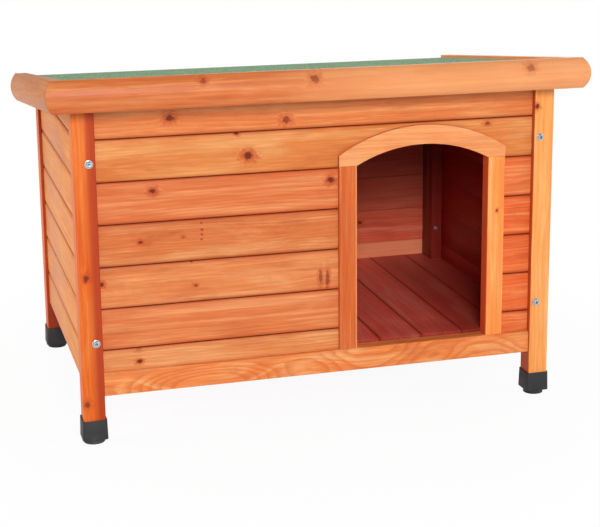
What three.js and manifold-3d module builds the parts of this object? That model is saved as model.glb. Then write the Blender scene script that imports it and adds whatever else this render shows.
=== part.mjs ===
// A flat-roofed timber dog house: four square posts on adjustable feet, walls of rounded tongued boards,
// a framed doorway with an arched head, a raised floor, and a felted roof that opens on two rear hinges.
// Millimetres, +Z up. The front faces -Y, and the origin is on the ground under the middle of the roof.
import * as THREE from 'three';
import { mergeVertices } from 'three/addons/utils/BufferGeometryUtils.js';
import Module from 'manifold-3d';

const wasm = await Module();
wasm.setup();

// ---------- Driving dimensions ----------

const GAP = 0.3;                  // fitting gap between neighbouring pieces
const OVERRUN = 5;                // how far a cutting tool runs past what it cuts

const ROOF_WIDTH = 1040;          // over the trims
const ROOF_DEPTH = 720;           // front trim to rear edge, in plan
const TOTAL_HEIGHT = 695;         // ground to the top of the front trim
const ROOF_FALL = THREE.MathUtils.degToRad(6.45);   // the roof falls to the rear
const SIDE_OVERHANG = 49.5;       // trims' crowns outside the posts
const FRONT_OVERHANG = 57.7;
const REAR_OVERHANG = 20.3;

const POST_SIDE = 41;             // square posts
const POST_ROUNDING = 3;

const TRIM_HEIGHT = 59;
const TRIM_FLAT = 24;             // square part of a trim's thickness
const TRIM_BULGE = 11.8;          // half-round part outside it
const FELT_RECESS = 6;            // felt's surface below the trims' top
const FELT_THICK = 2.5;
const FELT_LIP = 11;              // felt turned down over the rear edge
const DECK_THICK = 12;
const DECK_BOARD = 96;            // spacing of the deck boards' seams
const CLEAT_SIDE = 22;            // battens under the deck
const CLEAT_TO_POST = 3;
const CLEAT_TO_WALL = 18;         // clear of the front and rear walls

const BOARD_PITCH = 79.64;        // height that a wall board covers
const BOARD_THICK = 11;
const FIRST_JOINT = 177.7;        // height of the lowest joint between boards
const JOINTS = 6;                 // joints up a wall
const TOP_BOARD_MIN = 12;         // least height left for a top board
const EDGE_DEPTH = 4.6;           // how far a board's rounded edge falls back from its face
const EDGE_RUN = 9;               // height of the rounded edge
const TONGUE_HEIGHT = 4;
const TONGUE_BACK = 2;            // wood behind the tongue
const TONGUE_THICK = 2.5;
const FRONT_RECESS = 12;          // front boards' faces behind the posts' front face
const WALL_RECESS = 2.5;          // other boards' faces inside the posts' outer faces
const WALL_BOTTOM = 108;          // lowest edge of the side and rear walls

const FRAME_RECESS = 4;           // door frame's and rail's faces behind the posts' front face
const FRAME_THICK = 29;
const FRAME_ROUNDING = 2;
const RAIL_BOTTOM = 91.6;
const RAIL_HEIGHT = 44.6;
const DOOR_WIDTH = 269.5;         // between the jambs
const DOOR_TO_POST = 59;          // right jamb to the right post
const JAMB_WIDTH = 35.5;
const HEAD_TO_TOP = 123.5;        // arched head's crown below the trim's top
const HEAD_HEIGHT = 71.5;         // jambs' tops to the crown
const HEAD_END = 20.6;            // height of the head's square ends
const INNER_RISE = 34.5;          // rise of the doorway's arch

const FLOOR_ABOVE_RAIL = 5.8;
const FLOOR_THICK = 12;
const FLOOR_BOARD = 87.6;         // spacing of the floor boards' seams
const LEDGER_SIDE = 22;
const FLOOR_SEAM_TO_JAMB = 56;    // first seam to the right of the left jamb
const SEAM_HALF = 1;              // half the width of a V seam between boards that share a solid
const SEAM_DEPTH = 1.2;

const BATTEN_WIDTH = 24;          // corner battens inside the side walls, across the house
const BATTEN_DEPTH = 28;
const BATTEN_TO_ROOF = 6;

const LOWER_BOLT = 197;           // height above the ground
const UPPER_BOLT_TO_TOP = 160;
const BOLT_FROM_SIDE = 28.5;      // post's outer face to the bolt
const BOLT_RADIUS = 3;
const BOLT_HEAD_RADIUS = 7.8;
const BOLT_HEAD_TOP_RADIUS = 5.2;
const BOLT_HEAD_HEIGHT = 5;
const BOLT_FLANGE = 1.6;
const SOCKET_RADIUS = 2.9;
const SOCKET_DEPTH = 3;
const NUT_RADIUS = 5.6;
const NUT_HEIGHT = 5;
const BOLT_TIP = 2;               // bolt's end beyond the nut
const BOLT_CLEARANCE = 0.3;

const CAP_BOTTOM = 8.9;
const CAP_HEIGHT = 38.2;
const CAP_FLOOR = 3;
const CAP_WALL_TOP = 2.6;
const CAP_WALL_BOTTOM = 3.6;
const GLIDE_RADIUS = 20;
const GLIDE_CHAMFER = 2.5;
const STEM_RADIUS = 5;
const STEM_TOP = 40;
const STEM_CLEARANCE = 0.3;

const HINGE_TO_POST = 140;        // middle of a hinge to the nearer post
const HINGE_WIDTH = 60;
const KNUCKLE_RADIUS = 4;
const KNUCKLE_MIDDLE = 22;        // width of the roof leaf's knuckle
const KNUCKLE_CLEARANCE = 0.6;
const LEAF_THICK = 2;
const WALL_LEAF = 18;             // wall leaf's length down from the pin
const ROOF_LEAF = 14;             // roof leaf's length behind the pin
const PIN_RADIUS = 2;
const PIN_HEAD_RADIUS = 3.2;
const PIN_HEAD = 1.5;
const PIN_CLEARANCE = 0.3;

const STAY_REACH = 170;           // from the hinge pins to the stay's pivot and to its stud
const STAY_CLOSED_ANGLE = THREE.MathUtils.degToRad(15);   // between those two, roof shut
const ROOF_OPENING = THREE.MathUtils.degToRad(88);        // past upright, so that it stands open
const STAY_WIDTH = 16;
const STAY_THICK = 2.5;
const PIVOT_RADIUS = 2.9;
const PIVOT_HEAD_RADIUS = 6;
const PIVOT_HEAD = 2.5;
const PIVOT_DEPTH = 14;           // pivot screw's length in the cleat
const STUD_RADIUS = 2.9;
const STUD_SHOULDER_RADIUS = 4.5;
const STUD_FLANGE_RADIUS = 7;
const STUD_FLANGE = 2.5;
const STUD_HEAD_RADIUS = 6;
const STUD_HEAD = 3;
const STAY_CLEARANCE = 0.3;
const SLOT_SPARE = 3;             // slot left over at either end of the travel

// ---------- Places worked out from them ----------

const postOuterX = ROOF_WIDTH / 2 - SIDE_OVERHANG;
const postInnerX = postOuterX - POST_SIDE;
const postCentreX = postOuterX - POST_SIDE / 2;
const houseFront = -ROOF_DEPTH / 2 + FRONT_OVERHANG;
const houseRear = ROOF_DEPTH / 2 - REAR_OVERHANG;

const wallOuterX = postOuterX - WALL_RECESS;
const wallInnerX = wallOuterX - BOARD_THICK;
const battenOuterX = wallInnerX - GAP;
const battenInnerX = battenOuterX - BATTEN_WIDTH;
const cornerInnerX = Math.min(postInnerX, battenInnerX);   // clear of posts and battens
const rearWallOuter = houseRear - WALL_RECESS;
const rearWallInner = rearWallOuter - BOARD_THICK;
const frontWallOuter = houseFront + FRONT_RECESS;
const frontWallInner = frontWallOuter + BOARD_THICK;
const wallFront = houseFront + POST_SIDE + GAP;      // side walls' ends, against the posts
const wallRear = houseRear - POST_SIDE - GAP;

const frameFront = houseFront + FRAME_RECESS;
const frameRear = frameFront + FRAME_THICK;
const railTop = RAIL_BOTTOM + RAIL_HEIGHT;
const floorTop = railTop + FLOOR_ABOVE_RAIL;
const floorBottom = floorTop - FLOOR_THICK;
const doorHalf = DOOR_WIDTH / 2;
const frameHalf = doorHalf + JAMB_WIDTH;
const doorCentre = postInnerX - DOOR_TO_POST - frameHalf;
const headCrown = TOTAL_HEIGHT - HEAD_TO_TOP;
const headBottom = headCrown - HEAD_HEIGHT;

// The roof's own frame: s runs down the slope to the rear, t stands square to it.
const fallSin = Math.sin(ROOF_FALL);
const fallCos = Math.cos(ROOF_FALL);
const trimHalf = TRIM_HEIGHT / 2;
const trimRadius = (trimHalf * trimHalf + TRIM_BULGE * TRIM_BULGE) / (2 * TRIM_BULGE);
const roofOrigin = new THREE.Vector3(
  0,
  -ROOF_DEPTH / 2 + trimRadius - (trimRadius - TRIM_BULGE) * fallCos - trimHalf * fallSin,
  TOTAL_HEIGHT - TRIM_HEIGHT * fallCos,
);
const roofY = (s, t) => roofOrigin.y + s * fallCos + t * fallSin;
const roofZ = (s, t) => roofOrigin.z - s * fallSin + t * fallCos;
const slopeAt = (y, t) => (y - roofOrigin.y - t * fallSin) / fallCos;

const roofRear = slopeAt(ROOF_DEPTH / 2, TRIM_HEIGHT);
const trimInnerX = ROOF_WIDTH / 2 - TRIM_BULGE - TRIM_FLAT;
const feltTop = TRIM_HEIGHT - FELT_RECESS;
const feltBottom = feltTop - FELT_THICK;
const deckTop = feltBottom - GAP;
const deckBottom = deckTop - DECK_THICK;
const deckFront = TRIM_FLAT + GAP;
const deckRear = roofRear - FELT_THICK - GAP;
const cleatTop = deckBottom - GAP;
const cleatOuterX = cornerInnerX - CLEAT_TO_POST;

// Joints between wall boards, below the roof at the rear wall; the top boards fill what is left.
const lowestEave = roofZ(slopeAt(houseRear, deckBottom), deckBottom);
const joints = Array.from({ length: JOINTS }, (_, i) => FIRST_JOINT + i * BOARD_PITCH)
  .filter((z) => z + TOP_BOARD_MIN < lowestEave);

// The hinge pins lie behind the rear wall's face, just under the deck.
const pinY = rearWallOuter + GAP + KNUCKLE_RADIUS;
const pinT = cleatTop - KNUCKLE_RADIUS;
const pinS = slopeAt(pinY, pinT);
const pinZ = roofZ(pinS, pinT);
const hingeX = postInnerX - HINGE_TO_POST;

// The stay's pivot is on the left cleat and its stud on the left wall, both as far from the pins.
const pivotT = cleatTop - CLEAT_SIDE / 2;
const pivotDrop = Math.asin((pinT - pivotT) / STAY_REACH);
const pivotS = pinS - STAY_REACH * Math.cos(pivotDrop);
const studAngle = ROOF_FALL - pivotDrop - STAY_CLOSED_ANGLE;
const studY = pinY - STAY_REACH * Math.cos(studAngle);
const studZ = pinZ + STAY_REACH * Math.sin(studAngle);
const stayOuterX = cleatOuterX + GAP + STAY_THICK;

// ---------- Solids and geometry ----------

function solidOf(geometry) {
  const bare = geometry.clone();
  bare.deleteAttribute('normal');
  bare.deleteAttribute('uv');
  const merged = mergeVertices(bare, 1e-4);
  return new wasm.Manifold(new wasm.Mesh({
    numProp: 3,
    vertProperties: new Float32Array(merged.attributes.position.array),
    triVerts: new Uint32Array(merged.index.array),
  }));
}

function geometryOf(solid) {
  const mesh = solid.getMesh();
  const geometry = new THREE.BufferGeometry();
  geometry.setAttribute('position', new THREE.BufferAttribute(new Float32Array(mesh.vertProperties), 3));
  geometry.setIndex(new THREE.BufferAttribute(new Uint32Array(mesh.triVerts), 1));
  geometry.computeVertexNormals();
  return geometry;
}

const cut = (geometry, ...tools) => geometryOf(
  tools.reduce((solid, tool) => solid.subtract(solidOf(tool)), solidOf(geometry)));
const join = (geometry, ...others) => geometryOf(
  others.reduce((solid, other) => solid.add(solidOf(other)), solidOf(geometry)));

const AXIS_X = new THREE.Vector3(1, 0, 0);
const AXIS_Y = new THREE.Vector3(0, 1, 0);
const AXIS_Z = new THREE.Vector3(0, 0, 1);

// A block between two corners.
function block(x0, x1, y0, y1, z0, z1) {
  return new THREE.BoxGeometry(x1 - x0, y1 - y0, z1 - z0)
    .translate((x0 + x1) / 2, (y0 + y1) / 2, (z0 + z1) / 2);
}

// The same on the left (side -1) or the right (side 1), with x measured outwards.
function sideBlock(side, x0, x1, ...rest) {
  return side < 0 ? block(-x1, -x0, ...rest) : block(x0, x1, ...rest);
}

// Extrudes a shape drawn in the YZ plane along X, from x0 to x1.
function extrudeX(shape, x0, x1, curveSegments = 6) {
  return new THREE.ExtrudeGeometry(shape, { depth: x1 - x0, bevelEnabled: false, curveSegments })
    .applyMatrix4(new THREE.Matrix4().makeBasis(AXIS_Y, AXIS_Z, AXIS_X))
    .translate(x0, 0, 0);
}

// Extrudes a shape drawn in the XZ plane along Y, from y0 to y1.
function extrudeY(shape, y0, y1, curveSegments = 24) {
  return new THREE.ExtrudeGeometry(shape, { depth: y1 - y0, bevelEnabled: false, curveSegments })
    .applyMatrix4(new THREE.Matrix4().makeBasis(AXIS_X, AXIS_Z, AXIS_Y.clone().negate()))
    .translate(0, y1, 0);
}

// Extrudes a shape drawn in the XY plane up Z, from z0 to z1.
function extrudeZ(shape, z0, z1, curveSegments = 3) {
  return new THREE.ExtrudeGeometry(shape, { depth: z1 - z0, bevelEnabled: false, curveSegments })
    .translate(0, 0, z0);
}

function roundedRectangle(x0, x1, y0, y1, radius) {
  const shape = new THREE.Shape();
  shape.moveTo(x0 + radius, y0);
  shape.absarc(x1 - radius, y0 + radius, radius, -Math.PI / 2, 0);
  shape.absarc(x1 - radius, y1 - radius, radius, 0, Math.PI / 2);
  shape.absarc(x0 + radius, y1 - radius, radius, Math.PI / 2, Math.PI);
  shape.absarc(x0 + radius, y0 + radius, radius, Math.PI, 1.5 * Math.PI);
  return shape;
}

// A turned solid about an axis through the origin; each point is [radius, distance along it].
function turned(points, axis, segments = 20) {
  const profile = points.map(([radius, along]) => new THREE.Vector2(radius, along));
  const geometry = new THREE.LatheGeometry(profile, segments);
  if (axis === 'x') geometry.rotateZ(-Math.PI / 2);
  if (axis === 'z') geometry.rotateX(Math.PI / 2);
  return geometry;
}

const rod = (radius, from, to, axis, segments = 20) => turned(
  [[0, from], [radius, from], [radius, to], [0, to]], axis, segments);

// Everything above the deck's underside, less a clearance, in the house's frame.
function aboveDeck(clearance) {
  const reach = 2 * (ROOF_WIDTH + ROOF_DEPTH);
  return block(-reach, reach, -reach, reach, deckBottom - clearance, reach)
    .rotateX(-ROOF_FALL)
    .translate(roofOrigin.x, roofOrigin.y, roofOrigin.z);
}

// ---------- Materials ----------

const timber = (color) => new THREE.MeshStandardMaterial({ color, roughness: 0.5, metalness: 0 });
const boardWood = timber(0xe08a4c);
const frameWood = timber(0xdd7c3e);
const wallWood = timber(0xe9a86c);
const innerWood = timber(0xb0673c);
const feltGreen = new THREE.MeshStandardMaterial({ color: 0x4f7d5e, roughness: 1, metalness: 0 });
const capPlastic = new THREE.MeshStandardMaterial({ color: 0x2b2d30, roughness: 0.6, metalness: 0 });
const zinc = new THREE.MeshStandardMaterial({ color: 0xb9bcc0, roughness: 0.35, metalness: 1 });

const dogHouse = new THREE.Group();

function place(name, geometry, material, parent = dogHouse) {
  const mesh = new THREE.Mesh(geometry, material);
  mesh.name = name;
  parent.add(mesh);
  return mesh;
}

const SIDES = [['left', -1], ['right', 1]];
const CORNERS = SIDES.flatMap(([sideName, side]) => [
  { name: `front_${sideName}`, side, x: side * postCentreX, y: houseFront + POST_SIDE / 2, inward: 1 },
  { name: `rear_${sideName}`, side, x: side * postCentreX, y: houseRear - POST_SIDE / 2, inward: -1 },
]);

// ---------- Posts, foot caps, glides and corner battens ----------

const boltHeights = { lower: LOWER_BOLT, upper: TOTAL_HEIGHT - UPPER_BOLT_TO_TOP };
const boltX = postOuterX - BOLT_FROM_SIDE;
const battenFront = houseFront + POST_SIDE + GAP;
const nutFront = battenFront + BATTEN_DEPTH + GAP;

// The front corners are bolted through the post and the batten behind it.
const boltHoles = (corner) => (corner.inward < 0 ? [] : Object.values(boltHeights).map(
  (height) => rod(BOLT_RADIUS + BOLT_CLEARANCE, houseFront - OVERRUN, nutFront + OVERRUN, 'y', 16)
    .translate(corner.side * boltX, 0, height)));

const halfPost = POST_SIDE / 2;
const postBottom = CAP_BOTTOM + CAP_FLOOR + GAP;
const stemHole = (z0, z1) => rod(STEM_RADIUS + STEM_CLEARANCE, z0, z1, 'z', 16);

for (const corner of CORNERS) {
  const outline = roundedRectangle(-halfPost, halfPost, -halfPost, halfPost, POST_ROUNDING);
  const post = extrudeZ(outline, postBottom, TOTAL_HEIGHT).translate(corner.x, corner.y, 0);
  place(`post_${corner.name}`, cut(
    post,
    aboveDeck(GAP),
    stemHole(0, STEM_TOP + GAP).translate(corner.x, corner.y, 0),
    ...boltHoles(corner),
  ), frameWood);
}

// A cap's walls flare a little towards the ground.
const capOuter = halfPost + CAP_WALL_BOTTOM;
const capTaper = (halfPost + CAP_WALL_TOP) / capOuter;
const capInner = halfPost + GAP;

for (const corner of CORNERS) {
  const body = extrudeZ(
    roundedRectangle(-capOuter, capOuter, -capOuter, capOuter, POST_ROUNDING + CAP_WALL_BOTTOM),
    0, CAP_HEIGHT);
  const points = body.attributes.position;
  for (let i = 0; i < points.count; i += 1) {
    if (points.getZ(i) > 0) points.setXY(i, points.getX(i) * capTaper, points.getY(i) * capTaper);
  }
  const socket = extrudeZ(
    roundedRectangle(-capInner, capInner, -capInner, capInner, POST_ROUNDING),
    CAP_FLOOR, CAP_HEIGHT + OVERRUN);
  const cap = place(`foot_cap_${corner.name}`, cut(
    body, socket, stemHole(-OVERRUN, CAP_FLOOR + OVERRUN)), capPlastic);
  cap.position.set(corner.x, corner.y, CAP_BOTTOM);
}

const glideTop = CAP_BOTTOM - GAP;

for (const corner of CORNERS) {
  const foot = place(`glide_${corner.name}`, turned([
    [0, 0],
    [GLIDE_RADIUS - GLIDE_CHAMFER, 0],
    [GLIDE_RADIUS, GLIDE_CHAMFER],
    [GLIDE_RADIUS, glideTop - GLIDE_CHAMFER],
    [GLIDE_RADIUS - GLIDE_CHAMFER, glideTop],
    [STEM_RADIUS, glideTop],
    [STEM_RADIUS, STEM_TOP],
    [0, STEM_TOP],
  ], 'z', 24), capPlastic);
  foot.position.set(corner.x, corner.y, 0);
}

for (const corner of CORNERS) {
  const y0 = corner.inward > 0 ? battenFront : wallRear - BATTEN_DEPTH;
  const batten = sideBlock(
    corner.side, battenInnerX, battenOuterX, y0, y0 + BATTEN_DEPTH, WALL_BOTTOM, TOTAL_HEIGHT);
  place(`corner_batten_${corner.name}`, cut(
    batten, aboveDeck(BATTEN_TO_ROOF), ...boltHoles(corner)), innerWood);
}

// ---------- Front bolts ----------

function boltBody() {
  const grip = nutFront - houseFront;
  const head = cut(
    turned([
      [0, -GAP - BOLT_HEAD_HEIGHT],
      [BOLT_HEAD_TOP_RADIUS, -GAP - BOLT_HEAD_HEIGHT],
      [BOLT_HEAD_TOP_RADIUS + 0.8, -GAP - BOLT_FLANGE],
      [BOLT_HEAD_RADIUS, -GAP - BOLT_FLANGE],
      [BOLT_HEAD_RADIUS, -GAP],
      [BOLT_RADIUS, -GAP],
      [BOLT_RADIUS, grip + NUT_HEIGHT + BOLT_TIP],
      [0, grip + NUT_HEIGHT + BOLT_TIP],
    ], 'y', 18),
    rod(SOCKET_RADIUS, -OVERRUN - BOLT_HEAD_HEIGHT, SOCKET_DEPTH - GAP - BOLT_HEAD_HEIGHT, 'y', 6),
  );
  return join(head, rod(NUT_RADIUS, grip, grip + NUT_HEIGHT, 'y', 6));
}

for (const [sideName, side] of SIDES) {
  for (const [level, height] of Object.entries(boltHeights)) {
    const bolt = place(`bolt_${sideName}_${level}`, boltBody(), zinc);
    bolt.position.set(side * boltX, houseFront, height);
  }
}

// ---------- Wall boards ----------

// Outline of boards stacked edge to edge from one height to another, with x the depth behind their
// faces. The heights in `seams` lie between boards of the stack, and `groove` and `tongue` say
// whether its bottom and top edges meet other boards.
function boardOutline(bottom, top, seams, { groove = false, tongue = false } = {}) {
  const points = [];
  const roundEdge = (z, away) => {
    const arc = [];
    for (let i = 0; i <= 4; i += 1) {
      const turn = (i / 4) * (Math.PI / 2);
      arc.push([EDGE_DEPTH * (1 - Math.sin(turn)), z + away * EDGE_RUN * (1 - Math.cos(turn))]);
    }
    return arc;
  };
  const tongueBack = BOARD_THICK - TONGUE_BACK;
  const tongueFront = tongueBack - TONGUE_THICK;

  if (groove) {
    const slotTop = bottom - GAP / 2 + TONGUE_HEIGHT + GAP;
    points.push([BOARD_THICK, bottom], [tongueBack + GAP, bottom], [tongueBack + GAP, slotTop]);
    points.push([tongueFront - GAP, slotTop], [tongueFront - GAP, bottom]);
    points.push(...roundEdge(bottom, 1));
  } else {
    points.push([BOARD_THICK, bottom], [0, bottom]);
  }
  for (const seam of seams) {
    points.push(...roundEdge(seam, -1).reverse(), ...roundEdge(seam, 1).slice(1));
  }
  if (tongue) {
    const tongueTop = top + GAP / 2 + TONGUE_HEIGHT;
    points.push(...roundEdge(top, -1).reverse(), [tongueFront, top], [tongueFront, tongueTop]);
    points.push([tongueBack, tongueTop], [tongueBack, top], [BOARD_THICK, top]);
  } else {
    points.push([0, top], [BOARD_THICK, top]);
  }
  for (const seam of [...seams].reverse()) {
    points.push(
      [BOARD_THICK, seam + SEAM_HALF],
      [BOARD_THICK - SEAM_DEPTH, seam],
      [BOARD_THICK, seam - SEAM_HALF]);
  }
  return points;
}

const shapeOf = (points) => new THREE.Shape(points.map(([x, y]) => new THREE.Vector2(x, y)));

// Boards with faces towards -Y (facing -1) or +Y (facing 1), from x0 to x1.
function boardsAlongX(outline, face, facing, x0, x1) {
  return extrudeX(shapeOf(outline.map(([depth, z]) => [face - facing * depth, z])), x0, x1);
}

// Boards with faces outwards on the left (side -1) or the right (side 1), from y0 to y1.
function boardsAlongY(outline, side, y0, y1) {
  return extrudeY(shapeOf(outline.map(([depth, z]) => [side * (wallOuterX - depth), z])), y0, y1);
}

// Bottom and top of each course, with half a gap at each joint; the top course runs up to the roof.
function courses(bottom) {
  const levels = [bottom, ...joints, TOTAL_HEIGHT];
  return levels.slice(0, -1).map((level, i) => ({
    number: i + 1,
    bottom: i === 0 ? level : level + GAP / 2,
    top: i === joints.length ? levels[i + 1] : levels[i + 1] - GAP / 2,
    groove: i > 0,
    tongue: i < joints.length,
  }));
}

// ---------- Door frame ----------

// Outline of the door frame's outside, grown by a clearance, with its foot at the height given.
function archedOutline(half, squareTop, crown, bottom, clearance) {
  const rise = crown - squareTop;
  const radius = (half * half + rise * rise) / (2 * rise);
  const centreZ = crown - radius;
  const reach = radius + clearance;
  const halfTurn = Math.asin((half + clearance) / reach);
  const shape = new THREE.Shape();
  shape.moveTo(doorCentre - half - clearance, bottom);
  shape.lineTo(doorCentre + half + clearance, bottom);
  shape.absarc(doorCentre, centreZ, reach, Math.PI / 2 - halfTurn, Math.PI / 2 + halfTurn);
  return shape;
}

const doorCut = (clearance) => extrudeY(
  archedOutline(frameHalf, headBottom + HEAD_END, headCrown, railTop - OVERRUN, clearance),
  frontWallOuter - OVERRUN, frontWallInner + OVERRUN);

place('front_rail', extrudeX(
  roundedRectangle(frameFront, frameRear, RAIL_BOTTOM, railTop, FRAME_ROUNDING),
  -postInnerX + GAP, postInnerX - GAP, 3), frameWood);

for (const [sideName, side] of SIDES) {
  const x0 = doorCentre + (side < 0 ? -frameHalf : doorHalf);
  place(`door_jamb_${sideName}`, extrudeZ(
    roundedRectangle(x0, x0 + JAMB_WIDTH, frameFront, frameRear, FRAME_ROUNDING),
    railTop + GAP, headBottom - GAP), frameWood);
}

place('arched_head', cut(
  extrudeY(archedOutline(frameHalf, headBottom + HEAD_END, headCrown, headBottom, 0),
    frameFront, frameRear),
  extrudeY(archedOutline(doorHalf, headBottom, headBottom + INNER_RISE, headBottom - OVERRUN, 0),
    frameFront - OVERRUN, frameRear + OVERRUN),
), frameWood);

// ---------- Front wall ----------

const leftToRight = (solid) => solid.decompose()
  .sort((a, b) => a.boundingBox().min[0] - b.boundingBox().min[0]);

// Each course is one board where it clears the door frame, and two where the frame parts it.
// The short boards on the right share one solid.
const rightOfDoor = [];
for (const course of courses(railTop + GAP)) {
  const outline = boardOutline(course.bottom, course.top, [], course);
  const board = solidOf(boardsAlongX(
    outline, frontWallOuter, -1, -postInnerX + GAP, postInnerX - GAP))
    .subtract(solidOf(aboveDeck(GAP)))
    .subtract(solidOf(doorCut(GAP)));
  const pieces = leftToRight(board);
  if (pieces.length === 1) {
    place(`front_board_${course.number}`, geometryOf(board), boardWood);
  } else {
    place(`front_board_${course.number}_left`, geometryOf(pieces[0]), boardWood);
    rightOfDoor.push(course);
  }
}
const lastShort = rightOfDoor[rightOfDoor.length - 1];
const shortStack = solidOf(boardsAlongX(
  boardOutline(
    rightOfDoor[0].bottom, lastShort.top, joints.filter((z) => z < lastShort.top),
    { tongue: lastShort.tongue }),
  frontWallOuter, -1, -postInnerX + GAP, postInnerX - GAP))
  .subtract(solidOf(doorCut(GAP)));
place('front_boards_right', geometryOf(leftToRight(shortStack).pop()), boardWood);

// ---------- Side and rear walls ----------

for (const course of courses(WALL_BOTTOM)) {
  const outline = boardOutline(course.bottom, course.top, [], course);
  place(`left_wall_board_${course.number}`, cut(
    boardsAlongY(outline, -1, wallFront, wallRear), aboveDeck(GAP)), wallWood);
}

const stack = boardOutline(WALL_BOTTOM, TOTAL_HEIGHT, joints);
place('right_wall', cut(boardsAlongY(stack, 1, wallFront, wallRear), aboveDeck(GAP)), wallWood);
place('rear_wall', cut(
  boardsAlongX(stack, rearWallOuter, 1, -postInnerX + GAP, postInnerX - GAP),
  aboveDeck(GAP)), wallWood);

// ---------- Floor ----------

// A V seam along Y (or X) in the face at height z, opening upwards (1) or downwards (-1).
function seam(centre, z, opening, from, to, extrude) {
  return extrude(shapeOf([
    [centre, z - opening * SEAM_DEPTH],
    [centre + 2 * SEAM_HALF, z + opening * SEAM_DEPTH],
    [centre - 2 * SEAM_HALF, z + opening * SEAM_DEPTH],
  ]), from, to);
}

const floorHalf = wallInnerX - GAP;
const floorFront = frameRear + GAP;
const floorRear = rearWallInner - GAP;
const notchX = cornerInnerX - GAP;
const notchFront = battenFront + BATTEN_DEPTH + GAP;
const notchRear = wallRear - BATTEN_DEPTH - GAP;
const beyond = floorHalf + OVERRUN;

const floorSeams = [];
const firstSeam = doorCentre - doorHalf + FLOOR_SEAM_TO_JAMB;
for (let x = firstSeam; x < floorHalf; x += FLOOR_BOARD) floorSeams.push(x);
for (let x = firstSeam - FLOOR_BOARD; x > -floorHalf; x -= FLOOR_BOARD) floorSeams.push(x);

place('floor', cut(
  block(-floorHalf, floorHalf, floorFront, floorRear, floorBottom, floorTop),
  ...SIDES.flatMap(([, side]) => [
    sideBlock(side, notchX, beyond, floorFront - OVERRUN, notchFront,
      floorBottom - OVERRUN, floorTop + OVERRUN),
    sideBlock(side, notchX, beyond, notchRear, floorRear + OVERRUN,
      floorBottom - OVERRUN, floorTop + OVERRUN),
  ]),
  ...floorSeams.map((x) => seam(
    x, floorTop, 1, floorFront - OVERRUN, floorRear + OVERRUN, extrudeY)),
), innerWood);

for (const [sideName, side] of SIDES) {
  place(`floor_ledger_${sideName}`, sideBlock(
    side, floorHalf - LEDGER_SIDE, floorHalf, notchFront, notchRear,
    floorBottom - GAP - LEDGER_SIDE, floorBottom - GAP), innerWood);
}

// ---------- Roof ----------

const roof = new THREE.Group();
roof.position.copy(roofOrigin);
roof.rotation.x = -ROOF_FALL;
dogHouse.add(roof);

// Cross-section of a trim: a flat inner part with a half-round outside. `out` is -1 or 1.
function trimOutline(inner, out) {
  const centre = inner + out * (TRIM_FLAT + TRIM_BULGE - trimRadius);
  const halfTurn = Math.asin(trimHalf / trimRadius);
  const points = [[inner, 0]];
  for (let i = 0; i <= 12; i += 1) {
    const turn = -halfTurn + (i / 12) * 2 * halfTurn;
    points.push([
      centre + out * trimRadius * Math.cos(turn),
      trimHalf + trimRadius * Math.sin(turn),
    ]);
  }
  points.push([inner, TRIM_HEIGHT]);
  return shapeOf(points);
}

// Everything beyond the mitre of a front corner (front 1), or everything on its other side (front 0).
function mitre(side, front) {
  const reach = 2 * (ROOF_WIDTH + ROOF_DEPTH);
  const [from, to] = front ? [-GAP / 2, reach] : [-reach, GAP / 2];
  return block(from, to, -reach, reach, -reach, reach)
    .rotateZ(side > 0 ? Math.PI / 4 : 0.75 * Math.PI)
    .translate(side * ROOF_WIDTH / 2, -TRIM_BULGE, 0);
}

place('roof_trim_front', cut(
  extrudeX(trimOutline(TRIM_FLAT, -1), -ROOF_WIDTH / 2, ROOF_WIDTH / 2),
  mitre(-1, 1), mitre(1, 1)), frameWood, roof);

for (const [sideName, side] of SIDES) {
  place(`roof_trim_${sideName}`, cut(
    extrudeY(trimOutline(side * trimInnerX, side), -TRIM_BULGE, roofRear),
    mitre(side, 0)), frameWood, roof);
}

const deckHalf = trimInnerX - GAP;
const deckSeams = [];
for (let s = deckFront + DECK_BOARD; s < deckRear - DECK_BOARD / 4; s += DECK_BOARD) deckSeams.push(s);

place('roof_deck', cut(
  block(-deckHalf, deckHalf, deckFront, deckRear, deckBottom, deckTop),
  ...deckSeams.map((s) => seam(s, deckBottom, -1, -deckHalf - OVERRUN, deckHalf + OVERRUN, extrudeX)),
), innerWood, roof);

place('roof_felt', extrudeX(shapeOf([
  [deckFront, feltBottom], [roofRear - FELT_THICK, feltBottom], [roofRear - FELT_THICK, feltTop - FELT_LIP],
  [roofRear, feltTop - FELT_LIP], [roofRear, feltTop], [deckFront, feltTop],
]), -deckHalf, deckHalf), feltGreen, roof);

const cleatFront = slopeAt(frontWallInner + CLEAT_TO_WALL, deckBottom);
const cleatRear = slopeAt(rearWallInner - CLEAT_TO_WALL, deckBottom);

for (const [sideName, side] of SIDES) {
  const cleat = sideBlock(
    side, cleatOuterX - CLEAT_SIDE, cleatOuterX, cleatFront, cleatRear, cleatTop - CLEAT_SIDE, cleatTop);
  place(`roof_cleat_${sideName}`, side > 0 ? cleat : cut(
    cleat, rod(PIVOT_RADIUS + STAY_CLEARANCE, -OVERRUN, PIVOT_DEPTH + GAP, 'x', 16)
      .translate(-cleatOuterX, pivotS, pivotT)), innerWood, roof);
}

// ---------- Hinges ----------

// A hinge is drawn about its pin, with x along it; the roof leaf is drawn in the roof's frame.
const halfHinge = HINGE_WIDTH / 2;
const halfMiddle = KNUCKLE_MIDDLE / 2;
const knuckle = (x0, x1) => rod(KNUCKLE_RADIUS, x0, x1, 'x', 20);
const pinBore = rod(PIN_RADIUS + PIN_CLEARANCE, -halfHinge - OVERRUN, halfHinge + OVERRUN, 'x', 16);
const swing = KNUCKLE_RADIUS + KNUCKLE_CLEARANCE;

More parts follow.
